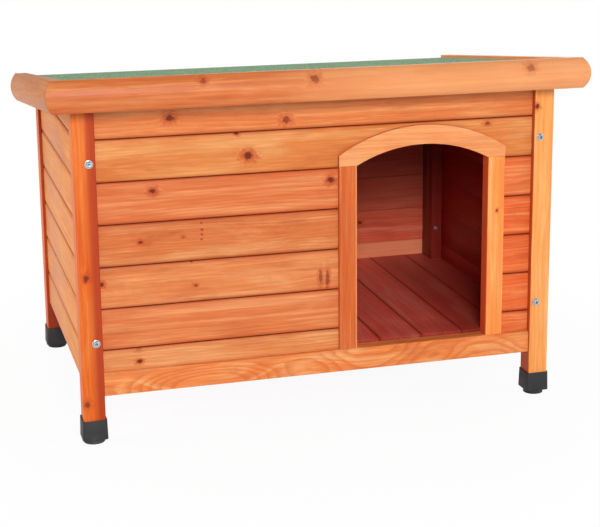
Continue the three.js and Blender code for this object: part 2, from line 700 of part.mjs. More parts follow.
for (const [sideName, side] of SIDES) {
  const wallLeaf = place(`hinge_wall_leaf_${sideName}`, cut(
    join(
      block(-halfHinge, halfHinge, -KNUCKLE_RADIUS, -KNUCKLE_RADIUS + LEAF_THICK, -WALL_LEAF, 0),
      knuckle(-halfHinge, -halfMiddle - GAP), knuckle(halfMiddle + GAP, halfHinge)),
    block(-halfMiddle - GAP, halfMiddle + GAP, -KNUCKLE_RADIUS - OVERRUN, OVERRUN, -swing, OVERRUN),
    pinBore), zinc);
  wallLeaf.position.set(side * hingeX, pinY, pinZ);

  const roofLeaf = place(`hinge_roof_leaf_${sideName}`, cut(
    join(
      block(-halfHinge, halfHinge, swing, ROOF_LEAF, KNUCKLE_RADIUS - LEAF_THICK, KNUCKLE_RADIUS),
      block(-halfMiddle, halfMiddle, 0, swing + GAP, KNUCKLE_RADIUS - LEAF_THICK, KNUCKLE_RADIUS),
      knuckle(-halfMiddle, halfMiddle)),
    pinBore), zinc, roof);
  roofLeaf.position.set(side * hingeX, pinS, pinT);

  const pin = place(`hinge_pin_${sideName}`, turned([
    [0, -halfHinge - GAP - PIN_HEAD],
    [PIN_HEAD_RADIUS, -halfHinge - GAP - PIN_HEAD],
    [PIN_HEAD_RADIUS, -halfHinge - GAP],
    [PIN_RADIUS, -halfHinge - GAP],
    [PIN_RADIUS, halfHinge + GAP],
    [0, halfHinge + GAP],
  ], 'x', 16), zinc);
  pin.position.set(side * hingeX, pinY, pinZ);
}

// ---------- Roof stay ----------

// The slotted arm hangs from the left cleat and slides on a stud in the left wall.
const nearest = 2 * STAY_REACH * Math.sin(STAY_CLOSED_ANGLE / 2);
const farthest = 2 * STAY_REACH * Math.sin((STAY_CLOSED_ANGLE + ROOF_OPENING) / 2);
const slotHalf = STUD_RADIUS + STAY_CLEARANCE;
const slotStart = nearest - SLOT_SPARE;
const slotEnd = farthest + SLOT_SPARE;

// A bar with round ends, hanging in the YZ plane; its end circles lie `from` and `to` below the pivot.
function roundedBar(from, to, radius, x0, x1) {
  const shape = new THREE.Shape();
  shape.absarc(0, -from, radius, 0, Math.PI);
  shape.absarc(0, -to, radius, Math.PI, 2 * Math.PI);
  return extrudeX(shape, x0, x1, 8);
}

const arm = place('stay_arm', cut(
  roundedBar(0, slotEnd, STAY_WIDTH / 2, 0, STAY_THICK),
  roundedBar(slotStart, slotEnd, slotHalf, -OVERRUN, STAY_THICK + OVERRUN),
  rod(PIVOT_RADIUS + STAY_CLEARANCE, -OVERRUN, STAY_THICK + OVERRUN, 'x', 16),
), zinc);
arm.position.set(-stayOuterX, roofY(pivotS, pivotT), roofZ(pivotS, pivotT));
arm.rotation.x = Math.atan2(studY - arm.position.y, arm.position.z - studZ);

const stayInnerX = stayOuterX - STAY_THICK;
const pivotTop = stayOuterX + GAP + PIVOT_HEAD;
const pivot = place('stay_pivot', turned([
  [0, -pivotTop],
  [PIVOT_HEAD_RADIUS, -pivotTop],
  [PIVOT_HEAD_RADIUS, -stayOuterX - GAP],
  [PIVOT_RADIUS, -stayOuterX - GAP],
  [PIVOT_RADIUS, -cleatOuterX + PIVOT_DEPTH],
  [0, -cleatOuterX + PIVOT_DEPTH],
], 'x', 16), zinc, roof);
pivot.position.set(0, pivotS, pivotT);

const stud = place('stay_stud', turned([
  [0, -wallInnerX + GAP],
  [STUD_FLANGE_RADIUS, -wallInnerX + GAP],
  [STUD_FLANGE_RADIUS, -wallInnerX + GAP + STUD_FLANGE],
  [STUD_SHOULDER_RADIUS, -wallInnerX + GAP + STUD_FLANGE],
  [STUD_SHOULDER_RADIUS, -stayOuterX - GAP],
  [STUD_RADIUS, -stayOuterX - GAP],
  [STUD_RADIUS, -stayInnerX + GAP],
  [STUD_HEAD_RADIUS, -stayInnerX + GAP],
  [STUD_HEAD_RADIUS, -stayInnerX + GAP + STUD_HEAD],
  [0, -stayInnerX + GAP + STUD_HEAD],
], 'x', 16), zinc);
stud.position.set(0, studY, studZ);

export default dogHouse;
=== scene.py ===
# A timber dog house in glazed fir: a raised box of rounded boards between four posts on adjustable feet,
# an arched doorway in the front, and a felted roof that hinges up at the back and is held by a stay.
from math import atan2, pi, radians

import bmesh
import bpy
from mathutils import Matrix, Vector


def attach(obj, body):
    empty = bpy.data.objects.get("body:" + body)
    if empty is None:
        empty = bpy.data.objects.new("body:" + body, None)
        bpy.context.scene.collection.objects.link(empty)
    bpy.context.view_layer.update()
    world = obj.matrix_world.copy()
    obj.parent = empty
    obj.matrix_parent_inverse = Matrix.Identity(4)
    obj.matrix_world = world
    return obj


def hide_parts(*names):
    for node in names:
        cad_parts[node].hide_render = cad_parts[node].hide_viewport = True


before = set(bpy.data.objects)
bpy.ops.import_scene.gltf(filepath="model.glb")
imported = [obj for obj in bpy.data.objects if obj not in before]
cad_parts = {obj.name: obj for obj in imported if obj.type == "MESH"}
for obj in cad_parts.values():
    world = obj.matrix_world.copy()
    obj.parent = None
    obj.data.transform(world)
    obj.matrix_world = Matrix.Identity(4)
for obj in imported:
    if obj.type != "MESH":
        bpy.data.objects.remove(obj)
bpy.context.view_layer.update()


# ---------- Camera ----------
# Stands left of the doorway, about a metre up and three metres off, and looks down at the house.
# A small lens shift sets the house in the frame much as the photograph has it.
camera_lens = bpy.data.cameras.new("camera")
camera_lens.sensor_width = 36
camera_lens.lens = 89.64
camera_lens.shift_x = -0.072
camera_lens.shift_y = -0.100
camera = bpy.data.objects.new("camera", camera_lens)
bpy.context.scene.collection.objects.link(camera)
camera.location = (-0.7815, -2.9523, 1.0640)
camera.rotation_euler = (
    Matrix.Rotation(radians(-17.15), 3, "Z")
    @ Matrix.Rotation(radians(90 - 12.89), 3, "X")
    @ Matrix.Rotation(radians(-0.18), 3, "Z")
).to_euler()
bpy.context.scene.camera = camera
bpy.context.scene.view_settings.view_transform = "Standard"


# ---------- Studio floor and light ----------
# A sheet of matt white card under a white sky. The key soft box stands in front, low enough to light the inside
# through the doorway; weaker ones light the right, the left wall and the back. Shadows stay near the house.
def linear(hex_colour):
    """An sRGB colour written as hex, as the linear RGBA that a node takes."""
    parts = [int(hex_colour[i:i + 2], 16) / 255 for i in (1, 3, 5)]
    return [p / 12.92 if p <= 0.04045 else ((p + 0.055) / 1.055) ** 2.4 for p in parts] + [1.0]


def node(tree, kind, inputs=None, **settings):
    """Adds a node. Each input is a value, or a node or socket to link from."""
    made = tree.nodes.new("ShaderNode" + kind)
    for name, value in settings.items():
        setattr(made, name, value)
    for name, value in (inputs or {}).items():
        if isinstance(value, bpy.types.Node):
            value = value.outputs[0]
        if isinstance(value, bpy.types.NodeSocket):
            tree.links.new(value, made.inputs[name])
        else:
            made.inputs[name].default_value = value
    return made


def blank_material(name):
    """A new material with an empty node tree, and that tree."""
    material = bpy.data.materials.new(name)
    material.use_nodes = True
    material.node_tree.nodes.clear()
    return material, material.node_tree


GLOSSY_SHARE = 0.35     # of the white that the camera sees, shown to reflections
sky = bpy.data.worlds.new("studio sky")
bpy.context.scene.world = sky
sky.use_nodes = True
sky.node_tree.nodes.clear()
ray = node(sky.node_tree, "LightPath")
seen = node(sky.node_tree, "Math", {0: ray.outputs["Is Glossy Ray"], 1: GLOSSY_SHARE,
    2: ray.outputs["Is Camera Ray"]}, operation="MULTIPLY_ADD")
power = node(sky.node_tree, "MapRange", {"Value": seen, "To Min": 0.22, "To Max": 1.0})
shine = node(sky.node_tree, "Background", {"Color": (1, 1, 1, 1), "Strength": power})
node(sky.node_tree, "OutputWorld", {"Surface": shine})

bpy.ops.object.select_all(action="DESELECT")
bpy.ops.mesh.primitive_circle_add(vertices=96, radius=9.0, fill_type="NGON", location=(0, 0, -0.0003))
card = bpy.context.object
card.name = "studio_floor"
bpy.ops.object.transform_apply(location=True, rotation=True, scale=True)
card_paint, tree = blank_material("matt white card")
ray = node(tree, "LightPath")
seen = node(tree, "Math", {0: ray.outputs["Is Glossy Ray"], 1: GLOSSY_SHARE, 2: ray.outputs["Is Camera Ray"]},
    operation="MULTIPLY_ADD")
spot = node(tree, "TexCoord")
far = node(tree, "VectorMath", {0: spot.outputs["Object"]}, operation="LENGTH")
white = node(tree, "MapRange", {"Value": far.outputs["Value"], "From Min": 0.40, "From Max": 1.2, "To Min": 0.94,
    "To Max": 1.0}, interpolation_type="SMOOTHSTEP")
white = node(tree, "Math", {0: white, 1: seen}, operation="MULTIPLY")
matt = node(tree, "BsdfDiffuse", {"Color": linear("#f4f4f4")})
plain = node(tree, "Emission", {"Color": (1, 1, 1, 1), "Strength": 1.0})
card_mix = node(tree, "MixShader", {0: white, 1: matt, 2: plain})
node(tree, "OutputMaterial", {"Surface": card_mix})
card.data.materials.append(card_paint)

for lamp_name, lamp_place, lamp_size, lamp_watts in (
    ("soft_box_front", (-0.75, -4.3, 2.15), 1.2, 130),
    ("soft_box_right", (3.2, -1.8, 1.8), 2.0, 32),
    ("soft_box_left", (-4.0, 0.9, 1.7), 2.0, 85),
    ("soft_box_rear", (1.8, 4.2, 3.0), 3.0, 85),
):
    lamp = bpy.data.lights.new(lamp_name, "AREA")
    lamp.shape = "SQUARE"
    lamp.size = lamp_size
    lamp.energy = lamp_watts
    soft_box = bpy.data.objects.new(lamp_name, lamp)
    bpy.context.scene.collection.objects.link(soft_box)
    soft_box.location = lamp_place
    soft_box.rotation_euler = (Vector((0, 0, 0.35)) - Vector(lamp_place)).to_track_quat("-Z", "Y").to_euler()


# ---------- Posts ----------
# Four square posts of planed softwood, about 41 mm, with their corners eased and an orange glaze brushed on.
# The grain runs up the post. Faces in the recesses beside the boards and in the back right inner corner have painted
# shade in their colour, and the left front post goes darker towards its right edge.
def glazed_fir(name, run, body, pale, deep, heart=(0.0, 0.035), rows=None, ring=5.0, streaks=0.5, lines=0.3,
               mottle=0.3, seed=0, knots=(), stray=0.0, slope=0.0, shine=0.42, inside=None, bands=(), stretches=(),
               sway=1.0):
    """Planed fir under a thin glaze. run names the axes along the grain, across the board and through it.
    heart is where the tree's heart lies, across and through, in metres, from the middle of a board where rows
    gives the boards' first joint and pitch. ring is the width of a year's growth in mm. knots are (along, across,
    radius, darkness, height for its width) in mm, and one of no darkness lies under the face and only bends the
    grain. stray is the share of spots that have a small knot. inside is (a place through the board, which side of
    it, body, pale, deep) for the colours of the inner face: the inside's stain, and on some pieces painted shade.
    bands are (across from, to, softness in mm, strength, colour), strips where the colour differs, from the glaze
    or from painted shade, and stretches the same along the grain. sway is how far the heart wanders, and so how
    wide the flame of the grain is."""
    material, tree = blank_material(name)
    spot = node(tree, "TexCoord")
    turned = node(tree, "Mapping", {"Vector": spot.outputs["Object"], "Rotation": (slope, 0, 0)})
    axes = node(tree, "SeparateXYZ", {0: turned})
    along, across, through = (axes.outputs["XYZ".index(letter.upper())] for letter in run)

    # Which board of the wall this is, and the lot that it was cut from.
    first, pitch = rows or (-5.0, 10.0)
    row = node(tree, "Math", {0: across, 1: 1 / pitch, 2: -first / pitch}, operation="MULTIPLY_ADD")
    number = node(tree, "Math", {0: row}, operation="FLOOR")
    part = node(tree, "Math", {0: row}, operation="FRACT")
    number = node(tree, "Math", {0: number, 1: seed + 0.37}, operation="ADD")
    lot = node(tree, "TexWhiteNoise", {"W": number}, noise_dimensions="1D")
    lot_parts = node(tree, "SeparateColor", {0: lot.outputs["Color"]})
    if rows:
        middle = node(tree, "Math", {0: part, 1: pitch, 2: -pitch / 2}, operation="MULTIPLY_ADD")
    else:
        middle = node(tree, "Math", {0: across, 1: 0.0}, operation="ADD")
    length = node(tree, "Math", {0: lot.outputs["Value"], 1: 9.0, 2: along}, operation="MULTIPLY_ADD")
    log = node(tree, "CombineXYZ", {0: length, 1: middle, 2: through})

    # Years of growth: distance from a heart that wanders along the log, pushed aside by each knot.
    slow = node(tree, "VectorMath", {0: log, 1: (1.6, 7.0, 7.0)}, operation="MULTIPLY")
    wander = node(tree, "TexNoise", {"Vector": slow, "Scale": 1.0, "Detail": 5.0, "Roughness": 0.5})
    wander = node(tree, "VectorMath", {0: wander.outputs["Color"], 1: (0, 0.060 * sway, 0.030 * sway),
        2: (0, -0.030 * sway - heart[0], -0.015 * sway - heart[1])}, operation="MULTIPLY_ADD")
    shift = node(tree, "Math", {0: lot_parts.outputs[0], 1: 0.05 if rows else 0.0, 2: -0.025 if rows else 0.0},
        operation="MULTIPLY_ADD")
    shifted = node(tree, "Math", {0: middle, 1: shift}, operation="ADD")
    from_heart = node(tree, "VectorMath", {0: node(tree, "CombineXYZ", {1: shifted, 2: through}), 1: wander},
        operation="ADD")
    years = node(tree, "VectorMath", {0: from_heart, 1: (0, 1, 1)}, operation="MULTIPLY")
    years = node(tree, "VectorMath", {0: years}, operation="LENGTH").outputs["Value"]
    ragged = node(tree, "TexNoise", {"Vector": spot.outputs["Object"], "Scale": 170.0, "Detail": 3.0,
        "Roughness": 0.6})
    ragged = node(tree, "MapRange", {"Value": ragged.outputs["Fac"], "From Min": 0.3, "From Max": 0.7, "To Min": 0.7,
        "To Max": 1.45})
    core = halo = None
    places = [(*knot, 1.0)[:5] for knot in knots] + ([None] if stray else [])
    for knot in places:
        if knot:
            size, dark = knot[2] / 1000, knot[3]
            away = node(tree, "CombineXYZ", {0: along, 1: across})
            away = node(tree, "VectorMath", {0: away, 1: (knot[0] / 1000, knot[1] / 1000, 0)}, operation="SUBTRACT")
            away = node(tree, "VectorMath", {0: away, 1: (0.8 / size, 1 / size / knot[4], 0)}, operation="MULTIPLY")
            away = node(tree, "VectorMath", {0: away}, operation="LENGTH").outputs["Value"]
        else:
            size, dark = 0.005, 0.85
            spread = node(tree, "VectorMath", {0: log, 1: (4.2, 13.0, 0)}, operation="MULTIPLY")
            cells = node(tree, "TexVoronoi", {"Vector": spread, "Scale": 1.0, "Randomness": 0.8},
                voronoi_dimensions="2D")
            chance = node(tree, "SeparateColor", {0: cells.outputs["Color"]})
            away = node(tree, "VectorMath", {0: spread, 1: cells.outputs["Position"]}, operation="SUBTRACT")
            away = node(tree, "VectorMath", {0: away, 1: (0.8 / 4.2 / size, 1 / 13.0 / size, 0)},
                operation="MULTIPLY")
            away = node(tree, "VectorMath", {0: away}, operation="LENGTH").outputs["Value"]
            reach = node(tree, "MapRange", {"Value": chance.outputs[1], "To Min": 0.5, "To Max": 1.4})
            away = node(tree, "Math", {0: away, 1: reach}, operation="DIVIDE")
            none = node(tree, "Math", {0: chance.outputs[0], 1: stray}, operation="GREATER_THAN")
            away = node(tree, "Math", {0: none, 1: 9.0, 2: away}, operation="MULTIPLY_ADD")
        torn = node(tree, "Math", {0: away, 1: ragged}, operation="MULTIPLY")
        push = node(tree, "MapRange", {"Value": away, "From Min": 0.3, "From Max": 3.2, "To Min": 1.1 * size,
            "To Max": 0.0}, interpolation_type="SMOOTHERSTEP")
        years = node(tree, "Math", {0: years, 1: push}, operation="ADD")
        inner = node(tree, "MapRange", {"Value": torn, "From Min": 0.6, "From Max": 1.15,
            "To Min": min(1.0, 1.2 * dark), "To Max": 0.0}, interpolation_type="SMOOTHSTEP")
        outer = node(tree, "MapRange", {"Value": torn, "From Min": 0.8, "From Max": 2.8, "To Min": 0.8 * dark,
            "To Max": 0.0}, interpolation_type="SMOOTHSTEP")
        core = inner if core is None else node(tree, "Math", {0: core, 1: inner}, operation="MAXIMUM")
        halo = outer if halo is None else node(tree, "Math", {0: halo, 1: outer}, operation="MAXIMUM")
    age = node(tree, "Math", {0: years, 1: 1000 / ring}, operation="MULTIPLY")
    season = node(tree, "Math", {0: age}, operation="FRACT")
    late = node(tree, "ValToRGB", {"Fac": season})
    late.color_ramp.interpolation = "EASE"
    late.color_ramp.elements[0].position, late.color_ramp.elements[0].color = 0.25, (0, 0, 0, 1)
    late.color_ramp.elements[1].position, late.color_ramp.elements[1].color = 0.84, (1, 1, 1, 1)
    late.color_ramp.elements.new(0.99).color = (0, 0, 0, 1)

    # Streaks some ten millimetres wide along the grain, fibres of one to three, and the glaze's own mottling.
    bent = node(tree, "CombineXYZ", {1: node(tree, "Math", {0: years, 1: 60.0}, operation="MULTIPLY")})
    stretched = node(tree, "VectorMath", {0: log, 1: (2.4, 95.0, 95.0), 2: bent}, operation="MULTIPLY_ADD")
    streak = node(tree, "TexNoise", {"Vector": stretched, "Scale": 1.0, "Detail": 4.0, "Roughness": 0.6})
    streak = node(tree, "MapRange", {"Value": streak.outputs["Fac"], "From Min": 0.45, "From Max": 0.70,
        "To Min": 0.0, "To Max": streaks}, interpolation_type="SMOOTHSTEP")
    fine = node(tree, "VectorMath", {0: log, 1: (14.0, 420.0, 420.0)}, operation="MULTIPLY")
    fibre = node(tree, "TexNoise", {"Vector": fine, "Scale": 1.0, "Detail": 3.0, "Roughness": 0.6}).outputs["Fac"]
    broad = node(tree, "VectorMath", {0: log, 1: (5.0, 20.0, 20.0)}, operation="MULTIPLY")
    cloud = node(tree, "TexNoise", {"Vector": broad, "Scale": 1.0, "Detail": 6.0, "Roughness": 0.62,
        "Distortion": 0.4}).outputs["Fac"]
    thin = node(tree, "MapRange", {"Value": cloud, "From Min": 0.48, "From Max": 0.68, "To Min": 0.0,
        "To Max": mottle}, interpolation_type="SMOOTHSTEP")
    thick = node(tree, "MapRange", {"Value": cloud, "From Min": 0.48, "From Max": 0.30, "To Min": 0.0,
        "To Max": mottle}, interpolation_type="SMOOTHSTEP")

    tints = []
    for shade in range(3):
        tint = linear((body, pale, deep)[shade])
        if inside:
            past = node(tree, "Math", {0: through, 1: inside[0]}, operation=inside[1])
            tint = node(tree, "Mix", {"Factor": past, 6: tint, 7: linear(inside[2 + shade])},
                data_type="RGBA").outputs[2]
        tints.append(tint)
    colour = node(tree, "Mix", {"Factor": streak, 6: tints[0], 7: tints[1]}, data_type="RGBA")
    colour = node(tree, "Mix", {"Factor": thin, 6: colour.outputs[2], 7: tints[1]}, data_type="RGBA")
    colour = node(tree, "Mix", {"Factor": thick, 6: colour.outputs[2], 7: tints[2]}, data_type="RGBA")
    patchy = node(tree, "MapRange", {"Value": fibre, "From Min": 0.35, "From Max": 0.62, "To Min": 0.3 * lines,
        "To Max": lines})
    dark_part = node(tree, "Math", {0: late.outputs["Color"], 1: patchy}, operation="MULTIPLY")
    if rows:
        near = node(tree, "Math", {0: part, 1: 0.5}, operation="SUBTRACT")
        near = node(tree, "Math", {0: near}, operation="ABSOLUTE")
        near = node(tree, "Math", {0: near, 1: -pitch, 2: pitch / 2}, operation="MULTIPLY_ADD")
        pooled = node(tree, "MapRange", {"Value": near, "From Min": 0.001, "From Max": 0.010, "To Min": 0.65,
            "To Max": 0.0}, interpolation_type="SMOOTHSTEP")
        if inside:
            sharp = node(tree, "Math", {0: past, 1: -0.7, 2: 1.0}, operation="MULTIPLY_ADD")
            pooled = node(tree, "Math", {0: pooled, 1: sharp}, operation="MULTIPLY")
        dark_part = node(tree, "Math", {0: dark_part, 1: pooled}, operation="MAXIMUM")
    colour = node(tree, "Mix", {"Factor": dark_part, 6: colour.outputs[2], 7: tints[2]}, data_type="RGBA").outputs[2]
    if rows:
        crack = node(tree, "MapRange", {"Value": near, "From Min": 0.0006, "From Max": 0.0020, "To Min": 0.9,
            "To Max": 0.0}, interpolation_type="SMOOTHSTEP")
        if inside:
            crack = node(tree, "Math", {0: crack, 1: sharp}, operation="MULTIPLY")
        colour = node(tree, "Mix", {"Factor": crack, 6: colour, 7: linear("#7c2a10")}, data_type="RGBA").outputs[2]
    fibre_tone = node(tree, "MapRange", {"Value": fibre, "From Min": 0.25, "From Max": 0.75, "To Min": 0.82,
        "To Max": 1.18})
    lot_tone = node(tree, "MapRange", {"Value": lot_parts.outputs[1], "To Min": 0.88 if rows else 1.0,
        "To Max": 1.08 if rows else 1.0})
    tone = node(tree, "Math", {0: fibre_tone, 1: lot_tone}, operation="MULTIPLY")
    colour = node(tree, "VectorMath", {0: colour, "Scale": tone}, operation="SCALE")
    for line, (start, end, soft, strength, stain) in [(across, band) for band in bands] + [(along, stretch)
            for stretch in stretches]:
        rise = node(tree, "MapRange", {"Value": line, "From Min": (start - soft) / 1000, "From Max": start / 1000},
            interpolation_type="SMOOTHSTEP")
        fall = node(tree, "MapRange", {"Value": line, "From Min": end / 1000, "From Max": (end + soft) / 1000,
            "To Min": strength, "To Max": 0.0}, interpolation_type="SMOOTHSTEP")
        band = node(tree, "Math", {0: rise, 1: fall}, operation="MULTIPLY")
        if inside:
            band = node(tree, "Math", {0: band, 1: past}, operation="MULTIPLY")
        colour = node(tree, "Mix", {"Factor": band, 6: colour, 7: linear(stain)}, data_type="RGBA").outputs[2]
    if halo is not None:
        colour = node(tree, "Mix", {"Factor": halo, 6: colour, 7: linear("#b8380e")}, data_type="RGBA").outputs[2]
        colour = node(tree, "Mix", {"Factor": core, 6: colour, 7: linear("#6c2406")}, data_type="RGBA").outputs[2]

    # End grain drinks more of the glaze, and goes darker.
    facing = node(tree, "Mapping", {"Vector": spot.outputs["Normal"], "Rotation": (slope, 0, 0)})
    facing = node(tree, "SeparateXYZ", {0: facing}).outputs["XYZ".index(run[0].upper())]
    facing = node(tree, "Math", {0: facing}, operation="ABSOLUTE")
    end_tone = node(tree, "MapRange", {"Value": facing, "From Min": 0.75, "From Max": 0.95, "To Min": 1.0,
        "To Max": 0.55}, interpolation_type="SMOOTHSTEP")
    colour = node(tree, "VectorMath", {0: colour, "Scale": end_tone}, operation="SCALE")

    rough = node(tree, "MapRange", {"Value": cloud, "From Min": 0.3, "From Max": 0.7, "To Min": shine - 0.06,
        "To Max": shine + 0.08})
    relief = node(tree, "Math", {0: late.outputs["Color"], 1: 0.4, 2: fibre}, operation="MULTIPLY_ADD")
    relief = node(tree, "Bump", {"Height": relief, "Strength": 0.4, "Distance": 0.0005})
    wood = node(tree, "BsdfPrincipled", {"Base Color": colour, "Roughness": rough, "IOR": 1.45,
        "Specular IOR Level": 0.3, "Normal": relief})
    node(tree, "OutputMaterial", {"Surface": wood})
    return material


def finish_node(name, material):
    """Gives a CAD node its material on every slot."""
    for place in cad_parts[name].material_slots:
        place.material = material


finish_node("post_front_left", glazed_fir(
    "glazed fir, left front post", "zxy", "#df671d", "#ea883e", "#ca4a0d", heart=(-0.445, -0.30), ring=9, seed=3,
    mottle=0.5, lines=0.4,
    knots=((323, -455.3, 5.5, 0.7), (80, -463, 5.5, 0.6)), bands=((-437, -425, 18.0, 0.9, "#ac3410"),)))
# On the right front post, the band is painted shade on the side face in the recess between post and boards.
finish_node("post_front_right", glazed_fir(
    "glazed fir, right front post", "zxy", "#f6a256", "#fac98a", "#df7d36", heart=(0.47, -0.27), ring=7, seed=5,
    lines=0.5, mottle=0.2,
    knots=((596, 434.5, 4.5, 0.8),), bands=((425, 429.9, 0.8, 0.9, "#b43c14"),)))
# The left rear post's whole front face takes darker colours: the inside's glaze, with painted shade on the strip seen
# beside the left wall.
finish_node("post_rear_left", glazed_fir(
    "glazed fir, left rear post", "zxy", "#dc6626", "#ec8e48", "#ba4614", heart=(-0.43, 0.34), ring=8, seed=7,
    mottle=0.2,
    inside=(0.2992, "LESS_THAN", "#a83c1a", "#c05a30", "#8a2a10")))
# On the right rear post, the band is painted shade in the inside corner, on the inner face and the edges beside it.
finish_node("post_rear_right", glazed_fir(
    "glazed fir, right rear post", "zxy", "#de6c2c", "#ee944e", "#bc4a18", heart=(0.44, 0.31), ring=8, seed=9,
    mottle=0.2,
    bands=((425, 432.5, 0.8, 0.95, "#6e1e10"),)))


# ---------- Foot caps and glides ----------
# Charcoal polypropylene caps pushed over the posts' ends, each with a screw-in glide under it to level the house.
# Both are moulded, with a fine spark-eroded grain that keeps them matt, and rub paler where they meet the ground.
def moulded_plastic(name, body, worn):
    material, tree = blank_material(name)
    spot = node(tree, "TexCoord")
    grain = node(tree, "TexNoise", {"Vector": spot.outputs["Object"], "Scale": 900.0, "Detail": 2.0})
    smear = node(tree, "TexNoise", {"Vector": spot.outputs["Object"], "Scale": 38.0, "Detail": 5.0, "Roughness": 0.6})
    height = node(tree, "SeparateXYZ", {0: spot.outputs["Object"]})
    low = node(tree, "MapRange", {"Value": height.outputs[2], "From Min": 0.0, "From Max": 0.022, "To Min": 0.8,
        "To Max": 0.1})
    rub = node(tree, "MapRange", {"Value": smear.outputs["Fac"], "From Min": 0.45, "From Max": 0.75},
        interpolation_type="SMOOTHSTEP")
    rub = node(tree, "Math", {0: rub, 1: low}, operation="MULTIPLY")
    colour = node(tree, "Mix", {"Factor": rub, 6: linear(body), 7: linear(worn)}, data_type="RGBA")
    rough = node(tree, "MapRange", {"Value": smear.outputs["Fac"], "To Min": 0.42, "To Max": 0.66})
    relief = node(tree, "Bump", {"Height": grain.outputs["Fac"], "Strength": 0.25, "Distance": 0.0003})
    plastic = node(tree, "BsdfPrincipled", {"Base Color": colour.outputs[2], "Roughness": rough, "IOR": 1.49,
        "Normal": relief})
    node(tree, "OutputMaterial", {"Surface": plastic})
    return material


def chosen(piece, kind, test):
    """In edit mode, selects those faces, edges or verts of the piece whose middle passes the test, and no others."""
    shape = bmesh.from_edit_mesh(piece.data)
    bpy.ops.mesh.select_all(action="DESELECT")
    bpy.ops.mesh.select_mode(type={"faces": "FACE", "edges": "EDGE", "verts": "VERT"}[kind])
    for part in getattr(shape, kind):
        corners = [part.co] if kind == "verts" else [corner.co for corner in part.verts]
        part.select_set(test(part, sum(corners, Vector()) / len(corners)))
    shape.select_flush_mode()
    bmesh.update_edit_mesh(piece.data)


def finished(piece, modifiers=(), smooth=32):
    """Applies the piece's place and then its modifiers, and smooths it up to an angle in degrees."""
    bpy.ops.object.select_all(action="DESELECT")
    piece.select_set(True)
    bpy.context.view_layer.objects.active = piece
    bpy.ops.object.transform_apply(location=True, rotation=True, scale=True)
    for kind, settings in modifiers:
        modifier = piece.modifiers.new(kind.lower(), kind)
        for name, value in settings.items():
            setattr(modifier, name, value)
        bpy.ops.object.modifier_apply(modifier=modifier.name)
    bpy.ops.object.shade_smooth_by_angle(angle=radians(smooth))


def fitted(piece, name, body, slot, *materials, stands_for=()):
    """Names a finished piece, gives it its materials and lets it ride with its body in place of CAD nodes."""
    piece.name = piece.data.name = name
    for material in materials:
        piece.data.materials.append(material)
    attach(piece, body)
    if stands_for:
        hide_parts(*stands_for)


def copied(shape, place):
    """A copy of a shape with its own mesh, moved by a matrix."""
    piece = bpy.data.objects.new(shape.name, shape.data.copy())
    bpy.context.scene.collection.objects.link(piece)
    piece.data.transform(place)
    return piece


cap_plastic = moulded_plastic("moulded polypropylene, charcoal", "#242627", "#4a4c4e")
glide_plastic = moulded_plastic("moulded polyamide, black", "#232527", "#55575a")
POST_CENTRES = {
    "front_left": (-0.450, -0.2818), "front_right": (0.450, -0.2818),
    "rear_left": (-0.450, 0.3192), "rear_right": (0.450, 0.3192)}

# The cap starts as a block, with its upright corners rounded, drawn in to the top and hollowed for the post.
bpy.ops.object.select_all(action="DESELECT")
bpy.ops.mesh.primitive_cube_add(size=1, location=(0, 0, 0.0280))
cap = bpy.context.object
cap.scale = (0.0482, 0.0482, 0.0382)
bpy.ops.object.transform_apply(location=True, rotation=True, scale=True)
bpy.ops.object.mode_set(mode="EDIT")
chosen(cap, "edges", lambda edge, middle: abs(middle.x) > 0.024 and abs(middle.y) > 0.024)
bpy.ops.mesh.bevel(offset=0.0062, segments=6, affect="EDGES")
chosen(cap, "faces", lambda face, middle: face.normal.z > 0.9)
bpy.ops.transform.resize(value=(0.9585, 0.9585, 1), center_override=(0, 0, 0.0471))
bpy.ops.mesh.inset(thickness=0.0023)
bpy.ops.mesh.extrude_region_move(TRANSFORM_OT_translate={"value": (0, 0, -0.0352)})
chosen(cap, "faces", lambda face, middle: face.normal.z < -0.9)
bpy.ops.mesh.inset(thickness=0.0030)
bpy.ops.mesh.inset(thickness=0.0006, depth=-0.0012)
bpy.ops.object.mode_set(mode="OBJECT")
bpy.ops.object.select_all(action="DESELECT")
bpy.ops.mesh.primitive_cylinder_add(vertices=32, radius=0.0053, depth=0.02, location=(0, 0, 0.0100))
drill = bpy.context.object
finished(cap, (("BOOLEAN", dict(operation="DIFFERENCE", object=drill, solver="EXACT")),
               ("BEVEL", dict(width=0.0006, segments=3, limit_method="ANGLE", angle_limit=radians(50)))))
bpy.data.objects.remove(drill)

# The glide is a thick disc with finger notches round its rim, on a threaded stem that the post's end is drilled for.
bpy.ops.object.select_all(action="DESELECT")
bpy.ops.mesh.primitive_cylinder_add(vertices=72, radius=0.0200, depth=0.0086, location=(0, 0, 0.0043))
glide = bpy.context.object
bpy.ops.object.transform_apply(location=True, rotation=True, scale=True)
bpy.ops.object.mode_set(mode="EDIT")
chosen(glide, "faces", lambda face, middle: abs(face.normal.z) < 0.1 and round(atan2(middle.y,
    middle.x) * 36 / pi - 0.5) % 6 < 2)
bpy.ops.mesh.inset(thickness=0.0004, depth=-0.0008)
chosen(glide, "faces", lambda face, middle: face.normal.z > 0.9 and middle.z > 0.008)
bpy.ops.mesh.inset(thickness=0.0150)
bpy.ops.mesh.extrude_region_move(TRANSFORM_OT_translate={"value": (0, 0, 0.0310)})
bpy.ops.mesh.inset(thickness=0.0008)
bpy.ops.transform.translate(value=(0, 0, 0.0004))
chosen(glide, "faces", lambda face, middle: face.normal.z < -0.9 and middle.z < 0.001)
bpy.ops.mesh.inset(thickness=0.0040)
bpy.ops.mesh.inset(thickness=0.0004, depth=-0.0006)
bpy.ops.object.mode_set(mode="OBJECT")
finished(glide, (("BEVEL", dict(width=0.0007, segments=3, limit_method="ANGLE", angle_limit=radians(50))),))

